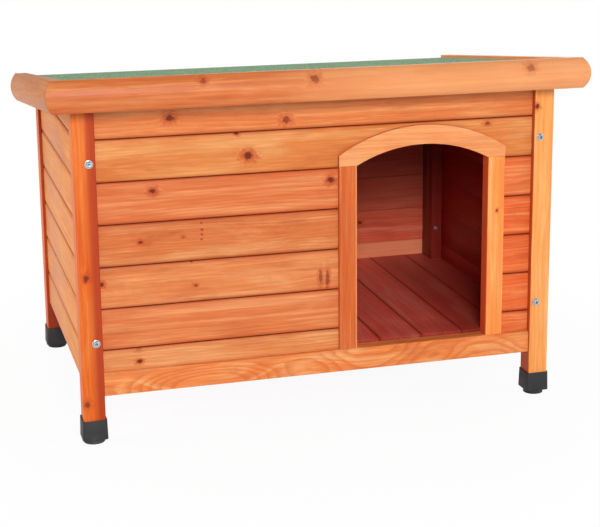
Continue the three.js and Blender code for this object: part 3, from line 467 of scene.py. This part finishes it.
for shape, kind, material in ((cap, "foot_cap", cap_plastic), (glide, "glide", glide_plastic)):
    for corner, (x, y) in POST_CENTRES.items():
        piece = copied(shape, Matrix.Translation((x, y, 0)))
        body = "house" if kind == "foot_cap" else "foot_" + corner
        fitted(piece, f"{kind}_{corner}_moulded", body, "cap_plastic", material, stands_for=(f"{kind}_{corner}",))
    bpy.data.objects.remove(shape)


# ---------- Corner battens ----------
# Sawn battens inside the corners, which the bolts draw the walls up to. They are glazed with the inside of the
# house, in a deeper red-brown.
inner_batten = glazed_fir(
    "glazed fir, corner battens", "zxy", "#8e2218", "#9d382e", "#69120a", heart=(0.44, 0.02), ring=6, seed=11,
    shine=0.5)
for corner in ("front_left", "front_right", "rear_left", "rear_right"):
    finish_node("corner_batten_" + corner, inner_batten)


# ---------- Side and rear walls ----------
# Tongued boards about 80 mm high, laid flat with rounded edges, so that each joint is a V.
# The left wall's boards are separate pieces; glaze has gathered in the joints, and small knots show here and there.
BOARD_ROWS = (0.09806, 0.07964)
SIDE_WALL_INNER = 0.4578     # past this, and past the rear wall's, the inner stain begins
REAR_WALL_INNER = 0.3315
inner_stain = ("#ee694c", "#fa9d7a", "#bf3a1e")
left_wall_wood = glazed_fir(
    "glazed fir, left wall boards", "yzx", "#e68838", "#faae57", "#c66723", heart=(0.0, -0.49), rows=BOARD_ROWS,
    ring=6, seed=21, stray=0.16, mottle=0.5, inside=(-SIDE_WALL_INNER, "GREATER_THAN", *inner_stain))
# The right wall's inner colours are painted shade: a far deeper crimson than the inside's stain on the other walls.
right_wall_wood = glazed_fir(
    "glazed fir, right wall boards", "yzx", "#da7a42", "#ee9f64", "#b04e22", heart=(0.0, 0.49), rows=BOARD_ROWS,
    ring=6, seed=31, stray=0.16, inside=(SIDE_WALL_INNER, "LESS_THAN", "#ac1c10", "#c03620", "#7e120a"))

# One board lies centred along Y with its outer face to the left. It is bevelled at nearly twice its thickness and
# then pressed flat to 6.5 mm, so that its edges fall back over more height than depth. The walls' outer faces stand
# 7 mm inside the posts'.
BOARD_GAP = 0.0001
WALL_MIDDLE = 0.46025     # of a side wall's thickness, from the middle of the house
ROOF_FALL = radians(6.45)
ROOF_PLACE = Matrix.Translation((0, -0.351318, 0.636373)) @ Matrix.Rotation(-ROOF_FALL, 4, "X")
bpy.ops.object.select_all(action="DESELECT")
bpy.ops.mesh.primitive_cube_add(size=1)
board = bpy.context.object
board.scale = (0.0117, 0.5594, BOARD_ROWS[1] - BOARD_GAP)
bpy.ops.object.transform_apply(location=True, rotation=True, scale=True)
bpy.ops.object.mode_set(mode="EDIT")
chosen(board, "edges", lambda edge, middle: middle.x < -0.0058 and abs(middle.z) > 0.039 and abs(middle.y) < 0.001)
bpy.ops.mesh.bevel(offset=0.0090, segments=8, affect="EDGES")
bpy.ops.mesh.select_all(action="SELECT")
bpy.ops.transform.resize(value=(5 / 9, 1, 1), center_override=(0, 0, 0))
bpy.ops.object.mode_set(mode="OBJECT")

for side, wall_wood in (("left", left_wall_wood), ("right", right_wall_wood)):
    outwards = -1 if side == "left" else 1
    wall_boards = []
    for number in range(1, 8):
        level = BOARD_ROWS[0] + (number - 0.5) * BOARD_ROWS[1]
        piece = copied(board, Matrix.Translation((outwards * WALL_MIDDLE, 0.0187, level))
                       @ Matrix.Rotation(0 if side == "left" else pi, 4, "Z"))
        bpy.ops.object.select_all(action="DESELECT")
        piece.select_set(True)
        bpy.context.view_layer.objects.active = piece
        bpy.ops.object.mode_set(mode="EDIT")
        if number == 1:
            bpy.ops.mesh.select_all(action="SELECT")
            bpy.ops.mesh.bisect(plane_co=(0, 0, 0.108), plane_no=(0, 0, -1), clear_outer=True, use_fill=True)
        if number == 7:
            chosen(piece, "verts", lambda vert, middle: middle.z > level)
            bpy.ops.transform.translate(value=(0, 0, 0.030))
            bpy.ops.mesh.select_all(action="SELECT")
            bpy.ops.mesh.bisect(
                plane_co=ROOF_PLACE @ Vector((0, 0, 0.0379)), plane_no=ROOF_PLACE.to_3x3() @ Vector((0, 0, 1)),
                clear_outer=True, use_fill=True)
        bpy.ops.object.mode_set(mode="OBJECT")
        finished(piece, (("BEVEL", dict(width=0.0004, segments=2, limit_method="ANGLE", angle_limit=radians(50))),))
        if side == "left":
            fitted(piece, f"left_wall_board_{number}_rounded", "house", "wall_board_wood", wall_wood,
                   stands_for=(f"left_wall_board_{number}",))
        wall_boards.append(piece)
    if side == "right":
        for piece in wall_boards:
            piece.select_set(True)
        bpy.ops.object.join()
        fitted(bpy.context.object, "right_wall_rounded", "house", "wall_board_wood", wall_wood,
            stands_for=("right_wall",))
bpy.data.objects.remove(board)

# On the inside, the bottom board is paler, and painted shadow darkens the upper boards where the front wall and
# arched head shade them.
finish_node("rear_wall", glazed_fir(
    "glazed fir, rear wall boards", "xzy", "#d9763c", "#ee9f62", "#b0491e", heart=(0.0, 0.36), rows=BOARD_ROWS,
    ring=6, seed=41, stray=0.1, knots=((271.6, 229, 4, 0.9),), inside=(REAR_WALL_INNER, "LESS_THAN", *inner_stain),
    bands=((100, 177.5, 1.0, 0.55, "#f5a878"), (310, 700, 90, 0.6, "#9c3f2f"))))


# ---------- Bolts ----------
# Zinc-plated M6 furniture bolts with flanged button heads and hexagon sockets, through post and batten to a nut, two
# to each corner at the front and the back. Blue passivation gives the plating its cold tint.
def zinc_plated(name, tint, rough):
    material, tree = blank_material(name)
    spot = node(tree, "TexCoord")
    bloom = node(tree, "TexNoise", {"Vector": spot.outputs["Object"], "Scale": 260.0, "Detail": 4.0,
        "Roughness": 0.6})
    tone = node(tree, "MapRange", {"Value": bloom.outputs["Fac"], "From Min": 0.3, "From Max": 0.7, "To Min": 0.86,
        "To Max": 1.05})
    colour = node(tree, "VectorMath", {0: linear(tint)[:3], "Scale": tone}, operation="SCALE")
    dull = node(tree, "MapRange", {"Value": bloom.outputs["Fac"], "To Min": rough - 0.1, "To Max": rough + 0.12})
    relief = node(tree, "Bump", {"Height": bloom.outputs["Fac"], "Strength": 0.15, "Distance": 0.0002})
    metal = node(tree, "BsdfPrincipled", {"Base Color": colour, "Metallic": 1.0, "Roughness": dull, "Normal": relief})
    node(tree, "OutputMaterial", {"Surface": metal})
    return material


plated_steel = zinc_plated("zinc-plated steel, blue passivated", "#ccd5d9", 0.30)
# The socket's steel is darker, as painted shade in the hexagon recess.
socket_shade_steel = zinc_plated("zinc-plated steel, painted shade in the socket", "#5d93a8", 0.35)

# The bolt lies along Y with its head's seat at 0: a flange, a domed button, a shank, and a hexagon nut behind.
bpy.ops.object.select_all(action="DESELECT")
bpy.ops.mesh.primitive_cylinder_add(vertices=48, radius=0.0078, depth=0.0014, location=(0, -0.0007, 0),
    rotation=(pi / 2, 0, 0))
bolt = bpy.context.object
bpy.ops.object.transform_apply(location=True, rotation=True, scale=True)
bpy.ops.object.mode_set(mode="EDIT")
chosen(bolt, "faces", lambda face, middle: face.normal.y < -0.9)
bpy.ops.mesh.inset(thickness=0.0016)
for rise, shrink in ((0.0010, 0.985), (0.0009, 0.95), (0.0008, 0.90), (0.0005, 0.86)):
    bpy.ops.mesh.extrude_region_move(TRANSFORM_OT_translate={"value": (0, -rise, 0)})
    bpy.ops.transform.resize(value=(shrink, 1, shrink), center_override=(0, 0, 0))
chosen(bolt, "faces", lambda face, middle: face.normal.y > 0.9 and middle.y > -0.0001)
bpy.ops.mesh.inset(thickness=0.0048)
bpy.ops.mesh.extrude_region_move(TRANSFORM_OT_translate={"value": (0, 0.0768, 0)})
bpy.ops.mesh.inset(thickness=0.0006)
bpy.ops.transform.translate(value=(0, 0.0005, 0))
bpy.ops.object.mode_set(mode="OBJECT")
bpy.ops.object.select_all(action="DESELECT")
bpy.ops.mesh.primitive_cylinder_add(vertices=6, radius=0.0029, depth=0.0062, location=(0, -0.0049, 0),
    rotation=(pi / 2, 0, 0))
key = bpy.context.object
finished(bolt, (("BOOLEAN", dict(operation="DIFFERENCE", object=key, solver="EXACT")),
                ("BEVEL", dict(width=0.0003, segments=2, limit_method="ANGLE", angle_limit=radians(40)))))
bpy.data.objects.remove(key)
bpy.ops.object.select_all(action="DESELECT")
bpy.ops.mesh.primitive_cylinder_add(vertices=6, radius=0.0056, depth=0.0050, location=(0, 0.0725, 0),
    rotation=(pi / 2, 0, 0))
nut = bpy.context.object
bpy.ops.object.mode_set(mode="EDIT")
chosen(nut, "faces", lambda face, middle: abs(face.normal.z) > 0.9)
bpy.ops.mesh.inset(thickness=0.0008)
bpy.ops.object.mode_set(mode="OBJECT")
finished(nut, (("BEVEL", dict(width=0.0005, segments=2, limit_method="ANGLE", angle_limit=radians(40))),))
bolt.select_set(True)
bpy.context.view_layer.objects.active = bolt
bpy.ops.object.join()
bpy.ops.object.shade_smooth_by_angle(angle=radians(32))
# Faces inside the hexagon socket take a darker, bluer steel; the darkness is painted shade in the socket.
for face in bolt.data.polygons:
    across_axis = (face.center.x ** 2 + face.center.z ** 2) ** 0.5
    face.material_index = int(across_axis < 0.0029 and -0.0045 < face.center.y < -0.0012)

for x, side in ((-0.442, "left"), (0.442, "right")):
    for level, front_height, rear_height in (("lower", 0.197, 0.216), ("upper", 0.535, 0.520)):
        front_bolt = copied(bolt, Matrix.Translation((x, -0.3026, front_height)))
        fitted(front_bolt, f"bolt_{side}_{level}_plated", "house", "zinc_steel", plated_steel, socket_shade_steel,
               stands_for=(f"bolt_{side}_{level}",))
        rear_bolt = copied(bolt, Matrix.Translation((x, 0.3400, rear_height)) @ Matrix.Rotation(pi, 4, "Z"))
        fitted(rear_bolt, f"bolt_rear_{side}_{level}", "house", "zinc_steel", plated_steel, socket_shade_steel)
bpy.data.objects.remove(bolt)


# ---------- Front rail and doorway ----------
# A planed rail across the bottom of the front, two jambs and an arched head cut from a wider board.
# The jambs' inner edges are rounded, and the right jamb's reveal has its shade painted into its colour.
finish_node("front_rail", glazed_fir(
    "glazed fir, front rail", "xzy", "#e78342", "#f6c589", "#c95c24", heart=(0.113, -0.318), ring=11, seed=51,
    lines=0.65, mottle=0.45, sway=1.5,
    knots=((-236, 98, 55, 0.0, 0.26), (95, 120, 38, 0.0, 0.42), (330, 100, 30, 0.0, 0.5))))
finish_node("door_jamb_left", glazed_fir(
    "glazed fir, left jamb", "zxy", "#cf6028", "#e0905a", "#b04312", heart=(0.05, -0.33), ring=9, seed=53, mottle=0.2,
    bands=((63.0, 70, 1.5, 0.5, "#fba860"),)))
# The band is painted shade on the reveal, the face turned into the doorway.
finish_node("door_jamb_right", glazed_fir(
    "glazed fir, right jamb", "zxy", "#f79345", "#fac37e", "#dd6d29", heart=(0.36, -0.25), ring=8, seed=55,
    mottle=0.25,
    knots=((392, 355, 2.2, 0.8),), bands=((330, 335.5, 0.8, 0.92, "#ed5630"),)))
finish_node("arched_head", glazed_fir(
    "glazed fir, arched head", "xzy", "#e8965c", "#efb57e", "#d57841", heart=(0.50, -0.35), ring=9, seed=57,
    lines=0.45, mottle=0.5))


# ---------- Front wall ----------
# The same rounded boards, set back between the posts. Each is from another tree, so every row has its own colour,
# and the knots lie where this house has them.
FRONT_WALL_INNER = -0.283
front_rows = {
    1: dict(body="#df884c", pale="#f1b57a", deep="#c4602d", heart=(0.02, -0.31), seed=61, mottle=0.45,
            knots=((-361, 151, 4, 0.9), (-361, 175, 5, 0.3))),
    2: dict(body="#d4753f", pale="#e9a670", deep="#b45023", heart=(0.02, -0.36), seed=62, mottle=0.3, lines=0.4),
    3: dict(body="#d67e46", pale="#eaaa73", deep="#b75427", heart=(0.03, -0.33), seed=63, mottle=0.5,
            knots=((-426, 306, 5, 0.8), (-250, 289, 3.0, 0.6), (-257, 336, 1.6, 0.8),
                   (-6, 284, 3.5, 0.5, 4.5), (8, 280, 3, 0.55, 6.0))),
    4: dict(body="#d0713a", pale="#e4a268", deep="#a7481b", heart=(0.01, -0.30), seed=64, mottle=0.6,
            knots=((-351, 381, 3.5, 0.85), (-271, 384, 2.5, 0.5), (-237, 409, 1.5, 0.8), (-236, 396, 1.5, 0.8),
                   (-236, 387, 1.5, 0.8), (-237, 378, 1.5, 0.7))),
    5: dict(body="#d26f3a", pale="#e9a069", deep="#b74d22", heart=(0.05, -0.34), seed=65, mottle=0.25, lines=0.4,
            knots=((-326, 476, 5.5, 0.85), (15, 474, 6.0, 0.95))),
    6: dict(body="#da8140", pale="#ecad6d", deep="#c56228", heart=(0.0, -0.32), seed=66, mottle=0.5,
            knots=((-166, 574, 3.5, 0.9), (-145, 531, 8.0, 0.9), (334, 566, 4.5, 0.6))),
    7: dict(body="#e07e42", pale="#f6b375", deep="#b35122", heart=(0.04, -0.335), seed=67, mottle=0.35,
            knots=((-291, 609, 7.0, 0.75), (-71, 595, 7.0, 0.6))),
}
for number, looks in front_rows.items():
    name = f"front_board_{number}" if number > 5 else f"front_board_{number}_left"
    finish_node(name, glazed_fir(
        f"glazed fir, front board {number}", "xzy", rows=BOARD_ROWS,
        inside=(FRONT_WALL_INNER, "GREATER_THAN", *inner_stain), **looks))
finish_node("front_boards_right", glazed_fir(
    "glazed fir, front boards right of the door", "xzy", "#e8692f", "#faa061", "#b74016", heart=(0.0, -0.33),
    rows=BOARD_ROWS, seed=71, lines=0.45, mottle=0.5, inside=(FRONT_WALL_INNER, "GREATER_THAN", *inner_stain)))


# ---------- Floor ----------
# Boards laid front to back on a ledger along either side wall, glazed the same deep red-brown as the inside.
# Painted shadow darkens the floor beside the right wall, where the wall and jamb shade it, and the floor is also
# darker along its front edge.
FLOOR_SEAM = 0.1215      # one of the seams between the floor's boards, and their pitch
FLOOR_BOARD = 0.0876
finish_node("floor", glazed_fir(
    "glazed fir, floor boards", "yxz", "#fa6252", "#fa9984", "#d5422d", heart=(0.0, 0.10),
    rows=(FLOOR_SEAM - FLOOR_BOARD * 8, FLOOR_BOARD),
    ring=7, seed=81, mottle=0.5, bands=((330, 470, 70.0, 0.65, "#7c140c"),),
    stretches=((-340, -240, 80.0, 0.3, "#8c1a10"),)))
ledger_wood = glazed_fir("glazed fir, floor ledgers", "yzx", "#a83c22", "#c05a38", "#7e2410", heart=(0.1, 0.42),
    seed=83)
finish_node("floor_ledger_left", ledger_wood)
finish_node("floor_ledger_right", ledger_wood)


# ---------- Roof deck, cleats and felt ----------
# Boards across the roof on two cleats, with green mineral felt over them, turned down and nailed at the back.
# The felt's slate chips scatter the light, so it looks dry and speckled from close by and an even green from afar.
DECK_BOARD = 0.096
finish_node("roof_deck", glazed_fir(
    "glazed fir, roof deck", "xyz", "#b04c2c", "#c66e48", "#84301a", heart=(0.0, 0.70),
    rows=(-0.351 - DECK_BOARD * 3, DECK_BOARD),
    ring=7, seed=91, stray=0.1))
cleat_wood = glazed_fir("glazed fir, cleats", "yzx", "#a83c22", "#c05a38", "#7e2410", heart=(0.62, 0.44), seed=93)
finish_node("roof_cleat_left", cleat_wood)
finish_node("roof_cleat_right", cleat_wood)

felt, tree = blank_material("mineral roofing felt, green")
spot = node(tree, "TexCoord")
grit = node(tree, "TexVoronoi", {"Vector": spot.outputs["Object"], "Scale": 420.0, "Randomness": 1.0})
grit_part = node(tree, "SeparateColor", {0: grit.outputs["Color"]})
drift = node(tree, "TexNoise", {"Vector": spot.outputs["Object"], "Scale": 14.0, "Detail": 5.0, "Roughness": 0.6})
grit_tone = node(tree, "ValToRGB", {"Fac": grit_part.outputs[0]})
grit_tone.color_ramp.elements[0].color = linear("#498154")
grit_tone.color_ramp.elements[1].color = linear("#c8dcb2")
grit_tone.color_ramp.elements.new(0.55).color = linear("#6c9b6a")
shade = node(tree, "MapRange", {"Value": drift.outputs["Fac"], "From Min": 0.3, "From Max": 0.7, "To Min": 0.88,
    "To Max": 1.1})
colour = node(tree, "VectorMath", {0: grit_tone.outputs["Color"], "Scale": shade}, operation="SCALE")
relief = node(tree, "Bump", {"Height": grit.outputs["Distance"], "Strength": 0.6, "Distance": 0.0008,
    "Filter Width": 0.1}, invert=True)
mineral = node(tree, "BsdfPrincipled", {"Base Color": colour, "Roughness": 0.9, "Normal": relief})
node(tree, "OutputMaterial", {"Surface": mineral})
finish_node("roof_felt", felt)


# ---------- Felt nails ----------
# Galvanised clout nails with broad flat heads hold the felt's turned-down edge to the back of the deck.
# Hot zinc leaves them a dull, slightly clouded grey.
NAILS = 11
NAIL_PITCH = 0.092
bpy.ops.object.select_all(action="DESELECT")
bpy.ops.mesh.primitive_cylinder_add(vertices=32, radius=0.0035, depth=0.0005, location=(0, 0.00025, 0),
    rotation=(pi / 2, 0, 0))
nail = bpy.context.object
bpy.ops.object.transform_apply(location=True, rotation=True, scale=True)
bpy.ops.object.mode_set(mode="EDIT")
chosen(nail, "faces", lambda face, middle: face.normal.y > 0.9)
bpy.ops.transform.resize(value=(0.92, 1, 0.92), center_override=(0, 0, 0))
chosen(nail, "faces", lambda face, middle: face.normal.y < -0.9)
bpy.ops.mesh.inset(thickness=0.0024)
bpy.ops.mesh.extrude_region_move(TRANSFORM_OT_translate={"value": (0, -0.0120, 0)})
bpy.ops.transform.resize(value=(0.2, 1, 0.2), center_override=(0, 0, 0))
bpy.ops.object.mode_set(mode="OBJECT")
finished(nail, (("BEVEL", dict(width=0.00015, segments=2, limit_method="ANGLE", angle_limit=radians(50))),))
bpy.ops.object.select_all(action="DESELECT")
for number in range(NAILS):
    x = (number - (NAILS - 1) / 2) * NAIL_PITCH
    driven = copied(nail, ROOF_PLACE @ Matrix.Translation((x, 0.7092, 0.0465)))
    driven.select_set(True)
    bpy.context.view_layer.objects.active = driven
bpy.ops.object.join()
galvanised = zinc_plated("galvanised steel, clout nails", "#a4aaac", 0.48)
fitted(bpy.context.object, "felt_nails_rear", "roof", "zinc_steel", galvanised)
bpy.data.objects.remove(nail)


# ---------- Roof trims ----------
# Half-round mouldings round three sides of the roof, mitred at the front corners, which hide the felt's edges.
# The glaze has a satin sheen, which draws a soft line of light along their rounds.
front_trim_wood = glazed_fir(
    "glazed fir, front trim", "xzy", "#d06f39", "#e29a62", "#b34b1e", heart=(0.68, -0.40), ring=9, seed=101,
    mottle=0.5,
    knots=((-240, 684, 5, 0.45), (-33, 679, 7, 0.5), (395, 680, 7, 0.4)),
    stretches=((150, 530, 330, 0.5, "#fbb478"),))
left_trim_wood = glazed_fir(
    "glazed fir, left trim", "yzx", "#c8783c", "#dd9558", "#a45423", heart=(0.65, -0.54), ring=8, seed=103,
    slope=ROOF_FALL)
right_trim_wood = glazed_fir(
    "glazed fir, right trim", "yzx", "#ef8e47", "#fab573", "#c8642e", heart=(0.65, 0.54), ring=8, seed=105,
    slope=ROOF_FALL)

# Each is a slice of a round pole, sawn off flat and thickened inwards, drawn level and then laid on the slope.
TRIM_ROUND = 0.042775
TRIM_END = 0.7090
TRIM_BULGE = 0.0118      # how far the round stands out from the trim's square part
ROOF_HALF = 0.520
for name, side, wood in (("front", 0, front_trim_wood), ("left", -1, left_trim_wood), ("right", 1, right_trim_wood)):
    bpy.ops.object.select_all(action="DESELECT")
    if side:
        bpy.ops.mesh.primitive_cylinder_add(
            vertices=144, radius=TRIM_ROUND, depth=TRIM_END + TRIM_BULGE, rotation=(pi / 2, 0, 0),
            location=(side * (ROOF_HALF - TRIM_ROUND), (TRIM_END - TRIM_BULGE) / 2, 0.0295))
        out = Vector((side, 0, 0))
        flat = out * 0.5082
    else:
        bpy.ops.mesh.primitive_cylinder_add(
            vertices=144, radius=TRIM_ROUND, depth=1.040, rotation=(0, pi / 2, 0),
            location=(0, TRIM_ROUND - TRIM_BULGE, 0.0295))
        out = Vector((0, -1, 0))
        flat = out * 0.0
    trim = bpy.context.object
    bpy.ops.object.transform_apply(location=True, rotation=True, scale=True)
    bpy.ops.object.mode_set(mode="EDIT")
    bpy.ops.mesh.select_all(action="SELECT")
    bpy.ops.mesh.bisect(plane_co=flat, plane_no=-out, clear_outer=True, use_fill=True)
    chosen(trim, "faces", lambda face, middle: face.normal.dot(out) < -0.9)
    bpy.ops.mesh.extrude_region_move(TRANSFORM_OT_translate={"value": out * -0.024})
    for corner in ((side,) if side else (-1, 1)):
        away = Vector((corner, 1, 0)).normalized() * (-1 if side else 1)
        bpy.ops.mesh.select_all(action="SELECT")
        bpy.ops.mesh.bisect(
            plane_co=Vector((corner * ROOF_HALF, -TRIM_BULGE, 0)) - away * 0.00015, plane_no=away, clear_outer=True,
            use_fill=True)
    bpy.ops.object.mode_set(mode="OBJECT")
    trim.matrix_world = ROOF_PLACE
    finished(trim, (("BEVEL", dict(width=0.0012, segments=3, limit_method="ANGLE", angle_limit=radians(38))),))
    fitted(trim, f"roof_trim_{name}_half_round", "roof", "frame_wood", wood, stands_for=(f"roof_trim_{name}",))


# ---------- Hinges and stay ----------
# Two steel butt hinges at the back and a slotted stay on the left, screwed on. All are stamped from zinc-plated
# strip, which is a little duller to the eye than the bolts.
plated_strap = zinc_plated("zinc-plated steel strap", "#b9bfc2", 0.38)
moving = {"hinge_roof_leaf_left": "roof", "hinge_roof_leaf_right": "roof", "stay_arm": "stay_arm",
    "stay_pivot": "roof"}
for name in ("hinge_wall_leaf_left", "hinge_wall_leaf_right", "hinge_roof_leaf_left", "hinge_roof_leaf_right",
             "hinge_pin_left", "hinge_pin_right", "stay_arm", "stay_pivot", "stay_stud"):
    piece = bpy.data.objects.new(name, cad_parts[name].data.copy())
    bpy.context.scene.collection.objects.link(piece)
    piece.data.materials.clear()
    bpy.ops.object.select_all(action="DESELECT")
    piece.select_set(True)
    bpy.context.view_layer.objects.active = piece
    bpy.ops.object.mode_set(mode="EDIT")
    bpy.ops.mesh.select_all(action="SELECT")
    bpy.ops.mesh.remove_doubles(threshold=0.00002)
    bpy.ops.mesh.dissolve_limited(angle_limit=radians(1))
    bpy.ops.object.mode_set(mode="OBJECT")
    finished(piece, (("BEVEL", dict(width=0.00025, segments=2, limit_method="ANGLE", angle_limit=radians(50))),))
    fitted(piece, name + "_plated", moving.get(name, "house"), "zinc_steel", plated_strap, stands_for=(name,))

# Countersunk screws, three to a leaf: a low dome with a cross recess. The first lies with its head up at 0.
bpy.ops.object.select_all(action="DESELECT")
bpy.ops.mesh.primitive_cylinder_add(vertices=32, radius=0.0028, depth=0.0004, location=(0, 0, 0.0002))
screw = bpy.context.object
bpy.ops.object.transform_apply(location=True, rotation=True, scale=True)
bpy.ops.object.mode_set(mode="EDIT")
chosen(screw, "faces", lambda face, middle: face.normal.z > 0.9)
for rise, shrink in ((0.0002, 0.90), (0.00012, 0.80), (0.00006, 0.70)):
    bpy.ops.mesh.extrude_region_move(TRANSFORM_OT_translate={"value": (0, 0, rise)})
    bpy.ops.transform.resize(value=(shrink, shrink, 1), center_override=(0, 0, 0))
bpy.ops.object.mode_set(mode="OBJECT")
bits = []
for size in ((0.0026, 0.0006), (0.0006, 0.0026)):
    bpy.ops.object.select_all(action="DESELECT")
    bpy.ops.mesh.primitive_cube_add(size=1, location=(0, 0, 0.0007))
    bits.append(bpy.context.object)
    bits[-1].scale = (*size, 0.0008)
    bpy.ops.object.transform_apply(location=True, rotation=True, scale=True)
finished(screw, [("BOOLEAN", dict(operation="DIFFERENCE", object=bit, solver="EXACT")) for bit in bits])
for bit in bits:
    bpy.data.objects.remove(bit)

SCREW_STEPS = (-0.021, 0.0, 0.021)
for side, x in (("left", -0.2895), ("right", 0.2895)):
    on_wall = [Matrix.Translation((x + step, 0.3395, 0.5800)) @ Matrix.Rotation(-pi / 2, 4, "X")
               for step in SCREW_STEPS]
    on_roof = [ROOF_PLACE @ Matrix.Translation((x + step, 0.7030, 0.0359)) @ Matrix.Rotation(pi, 4, "X")
               for step in SCREW_STEPS]
    for leaf, body, places in (("wall", "house", on_wall), ("roof", "roof", on_roof)):
        bpy.ops.object.select_all(action="DESELECT")
        for place in places:
            driven = copied(screw, place)
            driven.select_set(True)
            bpy.context.view_layer.objects.active = driven
        bpy.ops.object.join()
        fitted(bpy.context.object, f"hinge_{leaf}_screws_{side}", body, "zinc_steel", plated_steel)
bpy.data.objects.remove(screw)
